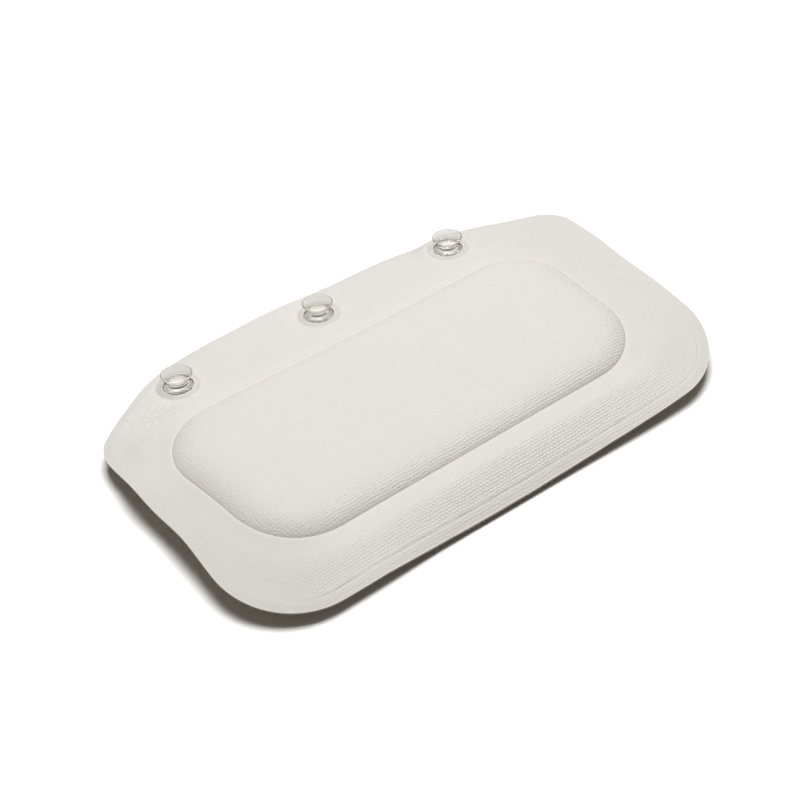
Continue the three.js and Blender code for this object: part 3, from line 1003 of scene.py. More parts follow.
    def settle(self, points: np.ndarray, rays: Rays, side: Face) -> np.ndarray:
        """Press the cups' rings into the flap, turn it down about the fold, and settle the whole face.

        Args:
            points: Points with the flap level, rays by stations by 3.
            rays: The rays.
            side: Which sheet.

        Returns:
            Settled points.
        """
        s, settling = self.section, self.settling
        ground = points[..., :2].copy()
        behind = np.where(rays.on_fold[:, None], ground[..., 1] - self.plan.fold_y, 0.0).clip(0.0, None)
        from_cup = self.from_cup(ground)
        raised = points[..., 2] - s.weld_bottom
        if side is Face.FRONT:
            ring = self.cups.emboss * (1 - smoothstep(from_cup, *self.cups.emboss_span))
            raised = raised + ring * (behind > 0)
        droop = math.radians(s.flap_droop)
        ease = smoothstep(behind, 0.0, s.droop_ease)
        turned = points.copy()
        turned[..., 1] += ease * (behind * (math.cos(droop) - 1) + raised * math.sin(droop))
        turned[..., 2] = s.weld_bottom + raised * mix(1.0, math.cos(droop), ease) - behind * math.sin(droop)
        turned += settling.shift(ground) * smoothstep(from_cup, *settling.cup_keep)[..., None]
        turned[..., 2] += settling.flap_wave(ground[..., 0], behind / self.plan.flap_depth, from_cup)
        if side is Face.FRONT:
            turned[..., 2] += settling.puckers(ground)
        return turned


@dataclass
class Placement:
    """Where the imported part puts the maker's frame, in metres."""

    shift_y: float
    hinge: np.ndarray
    cup_axis: np.ndarray
    cup_origins: dict[Side, np.ndarray] = field(default_factory=dict)

    @classmethod
    def from_frame(cls, frame: dict, shape: PillowShape) -> "Placement":
        """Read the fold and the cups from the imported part's joints and boxes.

        Args:
            shape: The pillow's shape.

        Returns:
            The placement.
        """
        joints = {j["name"]: j for j in frame["record"]["behaviour"]["joints"]}
        hinge = np.array(joints["flap_fold"]["pos_m"])
        axis = -np.array(joints["cup_press_middle"]["axis"])
        place = cls(hinge[1] - shape.plan.fold_y * MM, hinge, axis / np.linalg.norm(axis))
        for side in Side:
            low, high = (np.array(c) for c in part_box(f"suction_stem_{side.word}"))
            middle = np.array([(low[0] + high[0]) / 2, *hinge[1:]])
            place.cup_origins[side] = middle + place.cup_along * shape.cups.setback * MM
        return place

    @property
    def cup_along(self) -> np.ndarray:
        """Direction on the flap, square to the cups' axis and to X."""
        return np.array([0.0, self.cup_axis[2], -self.cup_axis[1]])

    def spokes(self, count: int) -> np.ndarray:
        """Unit directions round a cup's axis, count by 3."""
        turn = np.linspace(0.0, 2 * np.pi, count + 1)[:-1, None]
        return np.cos(turn) * X_AXIS + np.sin(turn) * self.cup_along

    def metres(self, points: np.ndarray) -> np.ndarray:
        """Maker's millimetres to the part's metres, as rows of three."""
        return points.reshape(-1, 3) * MM + np.array([0.0, self.shift_y, 0.0])


@dataclass(frozen=True)
class Signal:
    """What a node gives. Sums, products and powers of signals add Math nodes."""

    wires: "Wiring"
    socket: bpy.types.NodeSocket

    def __add__(self, other: "Signal | float") -> "Signal":
        """Sum."""
        return self.wires.math("ADD", self, other)

    def __sub__(self, other: "Signal | float") -> "Signal":
        """Difference."""
        return self.wires.math("SUBTRACT", self, other)

    def __rsub__(self, other: float) -> "Signal":
        """Difference from a number."""
        return self.wires.math("SUBTRACT", other, self)

    def __mul__(self, other: "Signal | float") -> "Signal":
        """Product."""
        return self.wires.math("MULTIPLY", self, other)

    def __truediv__(self, other: "Signal | float") -> "Signal":
        """Quotient."""
        return self.wires.math("DIVIDE", self, other)

    def __pow__(self, other: float) -> "Signal":
        """Power."""
        return self.wires.math("POWER", self, other)


class Wiring:
    """Short hand for adding and joining nodes in one node tree."""

    def __init__(self, tree: bpy.types.NodeTree) -> None:
        """Start on a tree, keeping the nodes that it has."""
        self.tree = tree

    def fill(self, node: bpy.types.Node, inputs: dict) -> None:
        """Join inputs of a node to signals, or set their values.

        Args:
            node: The node.
            inputs: Signals or values, by the input's name or number.
        """
        for key, value in inputs.items():
            if isinstance(value, Signal):
                self.tree.links.new(value.socket, node.inputs[key])
            else:
                node.inputs[key].default_value = value

    def add(self, kind: str, inputs: dict | None = None, settings: dict | None = None) -> bpy.types.Node:
        """Add a node.

        Args:
            kind: Node type, without its ShaderNode prefix where it has one.
            inputs: Signals or values for its inputs, by name or number.
            settings: Properties to set on it.

        Returns:
            The node.
        """
        node = self.tree.nodes.new(kind if kind.startswith("Node") else f"ShaderNode{kind}")
        for key, value in (settings or {}).items():
            setattr(node, key, value)
        self.fill(node, inputs or {})
        return node

    def every(self, kind: str, inputs: dict | None = None, settings: dict | None = None) -> dict[str, Signal]:
        """Add a node and take all that it gives, by name."""
        return {s.name: Signal(self, s) for s in self.add(kind, inputs, settings).outputs}

    def get(
        self, kind: str, inputs: dict | None = None, settings: dict | None = None, output: str | int = 0
    ) -> Signal:
        """Add a node and take one thing that it gives."""
        return Signal(self, self.add(kind, inputs, settings).outputs[output])

    def group(self, tree: bpy.types.NodeTree, inputs: dict) -> dict[str, Signal]:
        """Add a node group and take all that it gives, by name."""
        return self.every("Group", inputs, {"node_tree": tree})

    def math(self, operation: str, *values: Signal | float) -> Signal:
        """Add a Math node."""
        return self.get("Math", dict(enumerate(values)), {"operation": operation})

    def wave(self, place: Signal) -> Signal:
        """Arches one unit long: the sine of pi times the fraction of a place."""
        return self.math("SINE", self.math("FRACT", place) * math.pi)

    def noise(
        self, at: Signal, scale: Signal | float, detail: float, rough: float = 0.5, space: str = "3D"
    ) -> Signal:
        """Add a noise, whose mean is about a half."""
        inputs = {"Vector": at, "Scale": scale, "Detail": detail, "Roughness": rough}
        return self.get("TexNoise", inputs, {"noise_dimensions": space})

    def ease(self, value: Signal, low: float = 0.0, high: float = 1.0) -> Signal:
        """Ease from 0 at low to 1 at high."""
        inputs = {"Value": value, "From Min": low, "From Max": high}
        return self.get("MapRange", inputs, {"interpolation_type": "SMOOTHSTEP"})

    def attribute(self, name: str) -> Signal:
        """Read a point attribute of the mesh."""
        return self.get("Attribute", settings={"attribute_name": name}, output="Fac")

    def tint(self, share: Signal, low: Signal | Colour, high: Signal | Colour) -> Signal:
        """Mix two colours."""
        ends = [c if isinstance(c, Signal) else (*c, 1.0) for c in (low, high)]
        return self.get("Mix", {0: share, 6: ends[0], 7: ends[1]}, {"data_type": "RGBA", "clamp_factor": False}, 2)

    def bump(self, height: Signal, distance: float) -> Signal:
        """Normals of a surface raised by height times distance."""
        return self.get("Bump", {"Strength": 1.0, "Distance": distance, "Height": height})

    def seen(self, rays: dict[str, Signal]) -> Signal:
        """One for light rays that show a thing in the picture, straight on, as a gloss or through a clear part."""
        shown = self.math("MAXIMUM", rays["Is Camera Ray"], rays["Is Glossy Ray"])
        return self.math("MAXIMUM", shown, rays["Is Transmission Ray"])


def new_group(
    name: str, inputs: dict[str, float | None], outputs: tuple[str, ...]
) -> tuple[Wiring, dict[str, Signal], bpy.types.Node]:
    """Start a shader node group.

    Args:
        name: Name of the group.
        inputs: First value of each input by name, or None for a vector.
        outputs: Names of its outputs, which are all values.

    Returns:
        The wiring, the inputs by name, and the output node.
    """
    tree = bpy.data.node_groups.new(name, "ShaderNodeTree")
    for key, value in inputs.items():
        kind = "NodeSocketVector" if value is None else "NodeSocketFloat"
        socket = tree.interface.new_socket(key, in_out="INPUT", socket_type=kind)
        if value is not None:
            socket.default_value = value
    for key in outputs:
        tree.interface.new_socket(key, in_out="OUTPUT", socket_type="NodeSocketFloat")
    wires = Wiring(tree)
    return wires, wires.every("NodeGroupInput"), wires.add("NodeGroupOutput")


@dataclass(frozen=True)
class KnitRibs:
    """Ribs of a knit-like face: rows of short raised beads along X, on cloth coordinates in millimetres."""

    row: float = 1.95
    stitch: float = 2.5
    wander: float = 0.3
    drift_scale: float = 0.05
    drift: float = 2.0
    sway_scale: float = 0.3
    sway: float = 2.6
    slide: float = 1.5
    rib_power: float = 0.7
    bead_power: float = 0.8
    bead_least: float = 0.1
    stagger: float = 0.5
    stagger_random: float = 0.7
    uneven: float = 0.6
    worn_scale: float = 0.4
    worn: float = 1.3
    worn_least: float = 0.05

    def build(self) -> bpy.types.NodeTree:
        """Build the group.

        Height is a power of the sine across a row, times a power of the sine along a bead, which keeps a least
        share, times how worn the bead is: a random share of its own and a noise. Two noises push the coordinates
        about, and each row is set off against the next by half a bead and a random share. Depth is one minus the
        height, which the finish uses for painted shade in the valleys.

        Returns:
            The group.
        """
        sizes = {"Row": self.row, "Stitch": self.stitch, "Wander": self.wander}
        wires, into, leave = new_group("knit_ribs", {"Cloth": None, **sizes}, ("Height", "Depth"))
        cloth = into["Cloth"]
        flat = wires.every("SeparateXYZ", {0: cloth})
        slow = wires.noise(cloth, self.drift_scale, 1.0, space="2D") - 0.5
        quick = wires.noise(cloth, self.sway_scale, 2.0, space="2D") - 0.5
        place = (slow * self.drift + flat["Y"] + quick * (into["Wander"] * self.sway)) / into["Row"]
        row = wires.math("FLOOR", place)
        start = wires.get("TexWhiteNoise", {"W": row}, {"noise_dimensions": "1D"})
        stagger = start * self.stagger_random + row * self.stagger
        along = (quick * self.slide + flat["X"]) / into["Stitch"] + stagger
        bead = wires.wave(along) ** self.bead_power * (1 - self.bead_least) + self.bead_least
        cell = wires.get("CombineXYZ", {0: wires.math("FLOOR", along), 1: row})
        uneven = wires.get("TexWhiteNoise", {"Vector": cell}, {"noise_dimensions": "2D"})
        worn = wires.noise(cloth, self.worn_scale, 2.0, space="2D") * self.worn + self.worn_least
        height = wires.wave(place) ** self.rib_power * bead * (uneven * self.uneven + worn)
        wires.fill(leave, {"Height": height, "Depth": 1.0 - height})
        return wires.tree


@dataclass(frozen=True)
class SoftGrain:
    """Fine grain of soft plastic and foam: small pits over a soft mottle, and specks between them in size."""

    pits: float = 1100.0
    mottle: float = 60.0
    specks: float = 580.0
    pits_tone: float = 1.6
    mottle_tone: float = 0.6

    def build(self) -> bpy.types.NodeTree:
        """Build the group from three noises. Tone is the weighted sum of the pits and the mottle.

        Returns:
            The group.
        """
        sizes = {"Pits": self.pits, "Mottle": self.mottle}
        wires, into, leave = new_group("soft_grain", {"Place": None, **sizes}, ("Height", "Tone", "Speckle"))
        specks = wires.noise(into["Place"], self.specks, 2.0, 0.6)
        pits = wires.noise(into["Place"], into["Pits"], 2.0, 0.65)
        mottle = wires.noise(into["Place"], into["Mottle"], 3.0, 0.6)
        tone = pits * self.pits_tone + (mottle - 1.0) * self.mottle_tone
        wires.fill(leave, {"Height": pits, "Tone": tone, "Speckle": specks - 0.5})
        return wires.tree


@dataclass(frozen=True)
class CupRings:
    """Rings that a cup's flange presses into the sheet over it: a raised lip and a step at the flange's edge."""

    lip: float = 10.6
    lip_width: float = 0.35
    lip_height: float = 0.35
    # Painted highlight on the lip, where the hole's cut edge catches light.
    lip_highlight: float = -3.0
    flange: float = 12.9
    flange_width: float = 0.6
    flange_height: float = 0.25
    flange_tone: float = 1.7

    def build(self) -> bpy.types.NodeTree:
        """Build the group.

        Each ring is one inside its edge and eases to nothing outside it, by the distance to the cup's axis. Height
        is in millimetres, and Tone darkens the sheet over the flange and lightens the lip as a painted highlight.

        Returns:
            The group.
        """
        sizes = {"Distance": 0.04, "Lip": self.lip, "Flange": self.flange}
        wires, into, leave = new_group("cup_rings", sizes, ("Height", "Tone"))
        radius = into["Distance"] / MM
        lip = wires.ease(into["Lip"] - radius, -self.lip_width, self.lip_width)
        over = wires.ease(into["Flange"] - radius, -self.flange_width, self.flange_width)
        height = lip * self.lip_height + over * self.flange_height
        wires.fill(leave, {"Height": height, "Tone": lip * self.lip_highlight + over * self.flange_tone})
        return wires.tree


class SharedGroups:
    """Node groups that more than one finish uses, each built once."""

    def __init__(self) -> None:
        """Build the groups."""
        self.knit = KnitRibs().build()
        self.grain = SoftGrain().build()
        self.rings = CupRings().build()


def blank_material(name: str) -> tuple[Wiring, bpy.types.Node]:
    """New material with one Principled shader.

    Args:
        name: Name of the material.

    Returns:
        Its wiring and the shader.
    """
    material = bpy.data.materials.new(name)
    material.use_nodes = True
    tree = material.node_tree
    shader = next(n for n in tree.nodes if n.type == "BSDF_PRINCIPLED")
    return Wiring(tree), shader


@dataclass(frozen=True)
class SheetFinish:
    """Soft foamed PVC: matte, warm white, with knit-like ribs where padded and a smooth face where pressed."""

    name: str
    colour: Colour
    # Colour that the grain and the painted shade pull the tone towards.
    shade_and_grain: Colour
    rib_height: float = 0.22
    # Painted shade in the ribs' valleys.
    rib_shade_tone: float = 1.2
    first_tone: float = 0.3
    shade_tone: float = 0.5
    grain_height: float = 0.16
    grain_tone: float = 0.5
    speckle_height: float = -0.12
    speckle_rib: tuple[float, float, float] = (0.3, 2.8, 0.8)
    crinkle_height: float = 0.3
    # Painted light and shade on the crinkle: lighter on its crests.
    crinkle_light_and_shade: float = -2.6
    crinkle_knit: tuple[float, float, float] = (1.7, 7.0, 0.9)
    roughness: float = 0.54
    rib_rough: float = 0.08
    grain_rough: float = 0.16
    nap: tuple[float, float] = (0.3, 0.7)
    specular: float = 0.35

    def material(self, groups: SharedGroups) -> bpy.types.Material:
        """Build the material.

        The tone is a sum of the painted shade in the ribs' valleys, the grain, the specks, the painted light and
        shade on the crinkle, the cups' rings with their painted lip highlight, and the painted shade mask, and
        mixes the two colours. The height is the sum of what the same effects raise.

        Args:
            groups: The shared node groups.

        Returns:
            The material.
        """
        wires, shader = blank_material(self.name)
        uv = wires.get("UVMap", settings={"uv_map": "weave"})
        cloth = wires.get("VectorMath", {0: uv, "Scale": 1 / MM}, {"operation": "SCALE"})
        place = wires.get("TexCoord", output="Object")
        ribs, shade, folds, from_cup = (wires.attribute(a) for a in ("ribs", "shade", "crinkle", "from_cup"))
        row, stitch, wander = self.crinkle_knit
        knit = wires.group(groups.knit, {"Cloth": cloth})
        fine = wires.group(groups.knit, {"Cloth": cloth, "Row": row, "Stitch": stitch, "Wander": wander})
        grain = wires.group(groups.grain, {"Place": place})
        rings = wires.group(groups.rings, {"Distance": from_cup})
        most, more, least = self.speckle_rib
        speckle = grain["Speckle"] * (wires.math("MINIMUM", ribs, most) * more + least)
        crinkle = fine["Height"] * folds
        # Painted shade in the ribs' valleys, where the bump casts no shadow.
        valleys = (knit["Depth"] * self.rib_shade_tone - 1.0) * ribs + self.first_tone
        tone = grain["Tone"] * self.grain_tone + valleys + shade * self.shade_tone + speckle
        # Painted highlights on the crinkle's crests, and the cups' rings with their painted lip highlight.
        tone = tone + crinkle * self.crinkle_light_and_shade + rings["Tone"]
        raised = knit["Height"] * ribs * self.rib_height + rings["Height"]
        nap = grain["Height"] * (ribs * self.nap[0] + self.nap[1]) * self.grain_height
        height = raised + nap + speckle * self.speckle_height + crinkle * self.crinkle_height
        wires.fill(shader, {
            "Base Color": wires.tint(tone, self.colour, self.shade_and_grain),
            "Roughness": grain["Tone"] * self.grain_rough + ribs * self.rib_rough + self.roughness,
            "Normal": wires.bump(height, MM),
            "Specular IOR Level": self.specular,
        })
        return bpy.data.materials[self.name]


@dataclass(frozen=True)
class FoamFinish:
    """Open-cell foam: pale cream, with pits and a soft mottle."""

    name: str
    colour: Colour
    shade: Colour
    pits: float = 700.0
    mottle: float = 90.0
    pit_depth: float = 0.4 * MM
    roughness: float = 0.95

    def material(self, groups: SharedGroups) -> bpy.types.Material:
        """Build the material.

        Args:
            groups: The shared node groups.

        Returns:
            The material.
        """
        wires, shader = blank_material(self.name)
        place = wires.get("TexCoord", output="Object")
        grain = wires.group(groups.grain, {"Place": place, "Pits": self.pits, "Mottle": self.mottle})
        wires.fill(shader, {
            "Base Color": wires.tint(grain["Tone"], self.colour, self.shade),
            "Roughness": self.roughness,
            "Normal": wires.bump(grain["Height"], self.pit_depth),
        })
        return bpy.data.materials[self.name]


@dataclass(frozen=True)
class ClearFinish:
    """Clear soft PVC: glossy, a little uneven from the mould, with painted shade in the recess round the neck,
    darker where the surface turns away from the view.
    """

    name: str
    colour: Colour
    # Colour of the painted shade in the recess.
    deep: Colour = (0.52, 0.49, 0.43)
    pits: float = 900.0
    mottle: float = 180.0
    roughness: float = 0.04
    grain_rough: float = 0.08
    steep: tuple[float, float] = (0.4, 0.85)
    flat_share: float = 0.4
    transmission: float = 0.86
    ior: float = 1.42
    lets_through: float = 0.5

    def material(self, groups: SharedGroups) -> bpy.types.Material:
        """Build the material. It lets a share of the light through, so that its shadow is pale.

        Args:
            groups: The shared node groups.

        Returns:
            The material.
        """
        wires, shader = blank_material(self.name)
        place = wires.get("TexCoord", output="Object")
        grain = wires.group(groups.grain, {"Place": place, "Pits": self.pits, "Mottle": self.mottle})
        # Painted shade: the recess mask darkens the cup, more where the surface turns away from the view.
        grazing = wires.ease(wires.get("LayerWeight", {"Blend": 0.5}, output="Facing"), *self.steep)
        share = (grazing * (1 - self.flat_share) + self.flat_share) * wires.attribute("recess")
        shadow = wires.get("LightPath", output="Is Shadow Ray")
        wires.fill(shader, {
            "Base Color": wires.tint(share, self.colour, self.deep),
            "Roughness": grain["Tone"] * self.grain_rough + self.roughness,
            "Transmission Weight": self.transmission,
            "IOR": self.ior,
            "Alpha": 1.0 - shadow * self.lets_through,
        })
        return bpy.data.materials[self.name]


@dataclass
class WeldedSheet:
    """One of the two sheets, in one piece from the pad to the flap's free edge."""

    shape: PillowShape
    place: Placement
    side: Face
    counts: Counts
    punch_heights: tuple[float, float] = (-6.0, 14.0)
    punch_steps: int = 96
    crease: float = 40.0
    bend_reach: float = 2.6

    def build(self) -> bpy.types.Object:
        """Make the sheet: its outer face, and an inner face moved along the normals by the sheet's thickness.

        Returns:
            The sheet, with the holes for the cups if it is the front one.
        """
        s, front = self.shape.section, self.side is Face.FRONT
        grid = self.shape.face(self.shape.rays(self.counts), self.side)
        inward = -1.0 if front else 1.0
        to_edge = np.linalg.norm(grid.points[:, -1:, :2] - grid.points[..., :2], axis=-1, keepdims=True)
        thick = s.sheet - s.thinned(to_edge) + s.clearance * s.rim_meeting.at(to_edge)
        outer = (grid.points, grid.pole)
        inner = (grid.points + inward * thick * grid.normals(), grid.pole + np.array([0.0, 0.0, inward * s.sheet]))
        upper, lower = (outer, inner) if front else (inner, outer)
        points = np.concatenate([self.place.metres(p) for p in (upper[0], lower[0], upper[1], lower[1])])
        cloth = np.concatenate([grid.cloth.reshape(-1, 2)] * 2 + [np.zeros((2, 2))]) * MM
        masks = {name: np.concatenate([m.ravel(), m.ravel(), m[:2, 0]]) for name, m in grid.masks.items()}
        faces = shell_faces(*grid.points.shape[:2], True)
        piece = write_mesh(f"{self.side.value}_sheet", points, faces, cloth, masks, self.crease)
        if front:
            self.punch(piece)
        return piece

    def punch(self, piece: bpy.types.Object) -> None:
        """Cut the three holes for the cups' necks with one applied Boolean of three round punches.

        Args:
            piece: The sheet.
        """
        circle = self.shape.cups.hole_radius * MM * self.place.spokes(self.punch_steps)
        origins = self.place.cup_origins.values()
        rings = [o + circle + self.place.cup_axis * h * MM for o in origins for h in self.punch_heights]
        low = np.arange(self.punch_steps)[None, :] + 2 * self.punch_steps * np.arange(len(origins))[:, None]
        high = low + self.punch_steps
        walls = np.concatenate([wall_quads(a, b)[:, [0, 3, 2, 1]] for a, b in zip(low, high)])
        punch = write_mesh("punch", np.concatenate(rings), [walls, np.concatenate([low[:, ::-1], high])])
        cut = piece.modifiers.new("punch", "BOOLEAN")
        cut.operation = "DIFFERENCE"
        cut.solver = "EXACT"
        cut.object = punch
        graph = bpy.context.evaluated_depsgraph_get()
        punched = piece.evaluated_get(graph)
        mesh = bpy.data.meshes.new_from_object(punched, preserve_all_data_layers=True, depsgraph=graph)
        piece.modifiers.clear()
        piece.data = mesh
        bpy.data.objects.remove(punch)
        mesh.set_sharp_from_angle(angle=math.radians(self.crease))

    def dress(self, piece: bpy.types.Object, material: bpy.types.Material) -> None:
        """Give the sheet its finish, and hide the imported parts that it stands for.

        Args:
            piece: The sheet.
            material: Its finish.
        """
        piece.data.materials.clear()
        piece.data.materials.append(material)
        hinge = self.place.hinge
        reach = self.bend_reach * MM
        tuple(hinge - [0, reach, 0])
        tuple(hinge + [0, reach, 0])
        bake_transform(piece)
        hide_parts(f"{self.side.value}_cover", f"flap_{self.side.value}_sheet")


@dataclass
class Foams:
    """The block of foam in the head pad and the ring of foam in the border."""

    shape: PillowShape
    place: Placement
    counts: Counts = (40, 16, 8, 20, 48)
    least_half: float = 0.12
    core_short: int = 7
    ring_span: tuple[int, int] = (2, 15)

    def build(self) -> dict[str, bpy.types.Object]:
        """Make both foams: the two faces moved inwards by a sheet and a gap, cut square at their edges.

        Returns:
            The foams by name.
        """
        rays = self.shape.rays(self.counts)
        sheet, clearance = self.shape.section.sheet, self.shape.section.clearance
        front, back = (self.shape.face(rays, side) for side in (Face.FRONT, Face.BACK))
        roof = front.points - sheet * front.normals()
        ground = back.points + sheet * back.normals()
        middle, half = (roof + ground) / 2, (roof - ground) / 2
        room = np.linalg.norm(half, axis=-1, keepdims=True)
        half = half * np.maximum(room - clearance, self.least_half) / room
        pad = self.shape.dome_rings + self.shape.wall_rings
        start, stop = (pad + self.shape.channel_rings + n for n in self.ring_span)
        gap = np.array([0.0, 0.0, sheet + clearance])
        cuts = {"core_foam_block": slice(0, pad - self.core_short), "border_foam_ring": slice(start, stop)}
        pieces = {}
        for name, cut in cuts.items():
            upper, lower = (middle + half)[:, cut], (middle - half)[:, cut]
            poles = [front.pole - gap, back.pole + gap] if cut.start == 0 else []
            points = np.concatenate([self.place.metres(p) for p in (upper, lower, *poles)])
            pieces[name] = write_mesh(name, points, shell_faces(*upper.shape[:2], bool(poles)))
        return pieces

    def dress(self, pieces: dict[str, bpy.types.Object], material: bpy.types.Material) -> None:
        """Give the foams their finish and let them ride with the pillow.

        Args:
            pieces: The foams by name.
            material: Their finish.
        """
        for name, piece in pieces.items():
            piece.data.materials.append(material)
            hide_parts(name.rsplit("_", 1)[0])
            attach(piece, "pillow")


def level_run(start: float, end: float, height: float, steps: int) -> np.ndarray:
    """Points at one height, evenly spaced from one radius to another."""
    return np.column_stack([np.linspace(start, end, steps), np.full(steps, height)])


@dataclass
class SuctionCup:
    """One clear cup: a flange between the flap's sheets, a neck through the hole and a bell that flexes."""

    sizes: CupSizes
    section: Section
    place: Placement
    side: Side
    segments: int = 96
    floor_steps: int = 10
    floor_recess: float = 0.5
    crease: float = 60.0

    def levels(self) -> tuple[float, float, float, float, float]:
        """Heights along the axis, over the flap's back sheet's outer face.

        Returns:
            The flange's underside, the neck's foot and top, the bell's floor and the rim.
        """
        c = self.sizes
        flange = self.section.sheet + self.section.clearance
        foot = flange + c.flange
        neck = foot + c.neck_height
        floor = neck + c.bell_floor
        return flange, foot, neck, floor, floor + c.bell_depth

    def profile(self) -> np.ndarray:
        """Turned outline, from the middle of the flange's underside to the middle of the bell's floor.

        The neck, the bell's outside and its inside are Bezier curves. The flange's edge and the lip are rounded.

        Returns:
            Radius and height of each point, n by 2.
        """
        c = self.sizes
        flange, foot, neck, floor, rim = self.levels()
        r, e, n = c.flange_radius, c.edge_round, c.neck_radius
        lip = [(c.rim_radius - inside, rim - below) for inside, below in c.lip]
        neck_bend = (n + c.neck_bend[0], foot + c.neck_bend[1])
        outside_bend = (n + c.bell_flare, (neck + rim) / 2)
        inside_bend = (n + c.bell_inside[0], floor + c.bell_inside[1])
        runs = [
            level_run(c.pole_radius, r - e, flange, 14),
            bezier([(r - e, flange), (r, flange), (r, flange + e)], 5),
            bezier([(r, foot - e), (r, foot), (r - e, foot)], 5),
            bezier([(c.neck_foot_radius + c.neck_fillet, foot), neck_bend, (n, neck)], 14),
            bezier([(n, neck), outside_bend, lip[0]], 18)[1:],
            bezier(lip[:3], 7)[1:],
            bezier(lip[3:], 5),
            bezier([lip[-1], inside_bend, (c.bell_floor_radius, floor)], 18)[1:],
            level_run(c.bell_floor_radius - c.floor_gap, c.pole_radius, floor, self.floor_steps),
        ]
        return np.concatenate(runs)

    def build(self) -> bpy.types.Object:
        """Make the cup: its outline turned about its axis, closed by a pole at each end.

        The mask "recess" is one on the flange, where the sheet covers it, and less on the bell's floor; the clear
        finish paints shade there.

        Returns:
            The cup.
        """
        c, outline = self.sizes, self.profile()
        profile = outline * MM
        axis, origin = self.place.cup_axis, self.place.cup_origins[self.side]
        spokes = self.place.spokes(self.segments)
        grid = origin + profile[None, :, :1] * spokes[:, None] + profile[None, :, 1:] * axis
        ends = origin + profile[[0, -1], 1:] * axis
        steps = len(profile)
        quads = np.roll(grid_quads(self.segments, steps)[:, ::-1], 1, axis=1)
        first = np.arange(self.segments) * steps
        pole = self.segments * steps
        caps = np.concatenate([fan(pole, first)[:, [0, 2, 1]], fan(pole + 1, first + steps - 1)])
        recess = smoothstep(outline[:, 0], c.neck_foot_radius, c.neck_foot_radius + c.neck_fillet)
        recess *= outline[:, 1] < self.levels()[1] + c.edge_round
        recess[-self.floor_steps :] = self.floor_recess
        masks = {"recess": np.concatenate([np.tile(recess, self.segments), [1.0, self.floor_recess]])}
        points = np.concatenate([grid.reshape(-1, 3), ends])
        return write_mesh(f"suction_cup_{self.side.word}", points, [quads, caps], masks=masks, crease=self.crease)

    def dress(self, piece: bpy.types.Object, material: bpy.types.Material) -> None:
        """Give the cup its finish, and hide the imported parts that it stands for.

        Args:
            piece: The cup.
            material: Its finish.
        """
        piece.data.materials.append(material)
        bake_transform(piece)
        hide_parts(f"suction_stem_{self.side.word}", f"suction_bell_{self.side.word}")


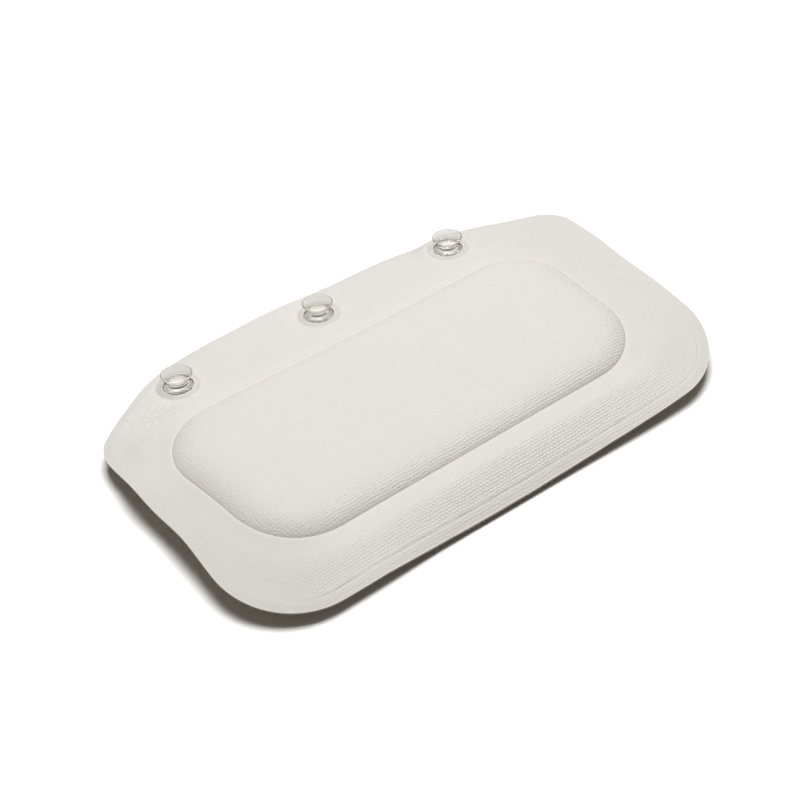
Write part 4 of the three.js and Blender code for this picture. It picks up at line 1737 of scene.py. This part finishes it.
@dataclass
class Studio:
    """Pale floor, soft light and the camera at the photograph's angle.

    The floor and the surroundings have one colour for the picture, one for what glosses and clear parts show of
    them, and one for the light that they throw on the pillow.
    """

    azimuth: float = 38.95
    elevation: float = 42.66
    distance: float = 1.1
    focal_pixels: float = 1860.0
    target: Point = (0.001, -0.003323, 0.01435)
    target_pixel: tuple[float, float] = (410.2, 387.4)
    frame_pixels: float = 800.0
    sensor: float = 36.0
    floor_half: float = 3.0
    floor_cells: int = 6
    floor_level: float = -0.0002
    floor_roughness: float = 0.9
    floor_specular: float = 0.1
    floor_seen: Colour = (1.3, 1.29, 1.26)
    floor_mirrored: Colour = (0.9, 0.89, 0.87)
    floor_thrown: Colour = (0.30, 0.26, 0.22)
    around_seen: Colour = (1.0, 1.0, 1.0)
    around_mirrored: Colour = (0.85, 0.835, 0.80)
    around_thrown: Colour = (1.0, 0.92, 0.82)
    around_strength: float = 0.09
    lamp_at: Point = (0.13, 0.20, 1.45)
    lamp_size: tuple[float, float] = (0.8, 0.7)
    lamp_watts: float = 21.0

    def build_camera(self) -> None:
        """Camera on the front left, square to the frame, shifted so that the target falls on its pixel."""
        turn, tilt = math.radians(self.azimuth), math.radians(self.elevation)
        back = Vector((-math.sin(turn) * math.cos(tilt), -math.cos(turn) * math.cos(tilt), math.sin(tilt)))
        data = bpy.data.cameras.new("camera")
        camera = bpy.data.objects.new("camera", data)
        camera.location = Vector(self.target) + self.distance * back
        camera.rotation_euler = (-back).to_track_quat("-Z", "Y").to_euler()
        data.sensor_width = self.sensor
        data.lens = self.sensor * self.focal_pixels / self.frame_pixels
        data.shift_x = (self.frame_pixels / 2 - self.target_pixel[0]) / self.frame_pixels
        data.shift_y = (self.target_pixel[1] - self.frame_pixels / 2) / self.frame_pixels
        data.clip_start = 0.01
        bpy.context.scene.collection.objects.link(camera)
        bpy.context.scene.camera = camera

    def build_floor(self) -> None:
        """Wide white floor on the plane that the pillow lies on."""
        n = self.floor_cells
        at = np.linspace(-self.floor_half, self.floor_half, n + 1)
        x, y = np.meshgrid(at, at, indexing="ij")
        points = np.stack([x, y, np.full_like(x, self.floor_level)], axis=-1).reshape(-1, 3)
        corner = (np.arange(n)[:, None] * (n + 1) + np.arange(n)[None, :]).ravel()
        quads = np.stack([corner, corner + n + 1, corner + n + 2, corner + 1], axis=-1)
        floor = write_mesh("floor", points, [quads])
        wires, shader = blank_material("white_floor")
        rays = wires.every("LightPath")
        shown = wires.tint(rays["Is Camera Ray"], self.floor_mirrored, self.floor_seen)
        colour = wires.tint(wires.seen(rays), self.floor_thrown, shown)
        gloss = {"Roughness": self.floor_roughness, "Specular IOR Level": self.floor_specular}
        wires.fill(shader, {"Base Color": colour, **gloss})
        floor.data.materials.append(bpy.data.materials["white_floor"])

    def build_light(self) -> None:
        """Even white surroundings and one large soft box above the back, which faces the pillow."""
        world = bpy.data.worlds.new("studio")
        world.use_nodes = True
        bpy.context.scene.world = world
        wires = Wiring(world.node_tree)
        plain = next(n for n in world.node_tree.nodes if n.type == "BACKGROUND")
        leave = next(n for n in world.node_tree.nodes if n.type == "OUTPUT_WORLD")
        wires.fill(plain, {"Color": (*self.around_thrown, 1.0), "Strength": self.around_strength})
        rays = wires.every("LightPath")
        shown = wires.tint(rays["Is Camera Ray"], self.around_mirrored, self.around_seen)
        white = wires.get("Background", {"Color": shown, "Strength": 1.0})
        direct = wires.seen(rays) * wires.math("LESS_THAN", rays["Diffuse Depth"], 0.5)
        both = wires.get("MixShader", {0: direct, 1: Signal(wires, plain.outputs[0]), 2: white})
        wires.fill(leave, {"Surface": both})
        data = bpy.data.lights.new("soft_box", "AREA")
        data.shape = "RECTANGLE"
        data.size, data.size_y = self.lamp_size
        data.energy = self.lamp_watts
        lamp = bpy.data.objects.new("soft_box", data)
        lamp.location = self.lamp_at
        lamp.rotation_euler = (Vector(self.target) - Vector(self.lamp_at)).to_track_quat("-Z", "Y").to_euler()
        bpy.context.scene.collection.objects.link(lamp)

    def build(self) -> None:
        """Set up the whole studio."""
        bpy.context.scene.view_settings.view_transform = "Standard"
        self.build_camera()
        self.build_floor()
        self.build_light()


def main() -> None:
    """Build every sub-assembly in order."""
    logging.basicConfig(level=logging.INFO, format="%(name)s: %(message)s")
    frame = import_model()
    shape = PillowShape()
    shape.swell = PadCloth().swell(shape.plan, shape.section, shape.pad_rise)
    place = Placement.from_frame(frame, shape)
    Studio().build()
    groups = SharedGroups()
    finishes = {
        Face.FRONT: SheetFinish("front_sheet_pvc", (0.795, 0.776, 0.728), (0.742, 0.723, 0.68)),
        Face.BACK: SheetFinish("back_sheet_pvc", (0.77, 0.752, 0.705), (0.745, 0.725, 0.675), rib_height=0.0),
    }
    for side, counts in ((Face.FRONT, (84, 40, 16, 64, 150)), (Face.BACK, (60, 26, 10, 32, 80))):
        sheet = WeldedSheet(shape, place, side, counts)
        piece = sheet.build()
        sheet.dress(piece, finishes[side].material(groups))
        LOG.info("%s: %d faces", piece.name, len(piece.data.polygons))
    foams = Foams(shape, place)
    blocks = foams.build()
    foams.dress(blocks, FoamFinish("cream_foam", (0.88, 0.85, 0.76), (0.7, 0.66, 0.55)).material(groups))
    LOG.info("foams: %s", ", ".join(blocks))
    clear = ClearFinish("clear_pvc", (0.93, 0.925, 0.905)).material(groups)
    for side in Side:
        cup = SuctionCup(shape.cups, shape.section, place, side)
        piece = cup.build()
        cup.dress(piece, clear)
        LOG.info("%s: %d faces", piece.name, len(piece.data.polygons))


if __name__ == "__main__":
    main()
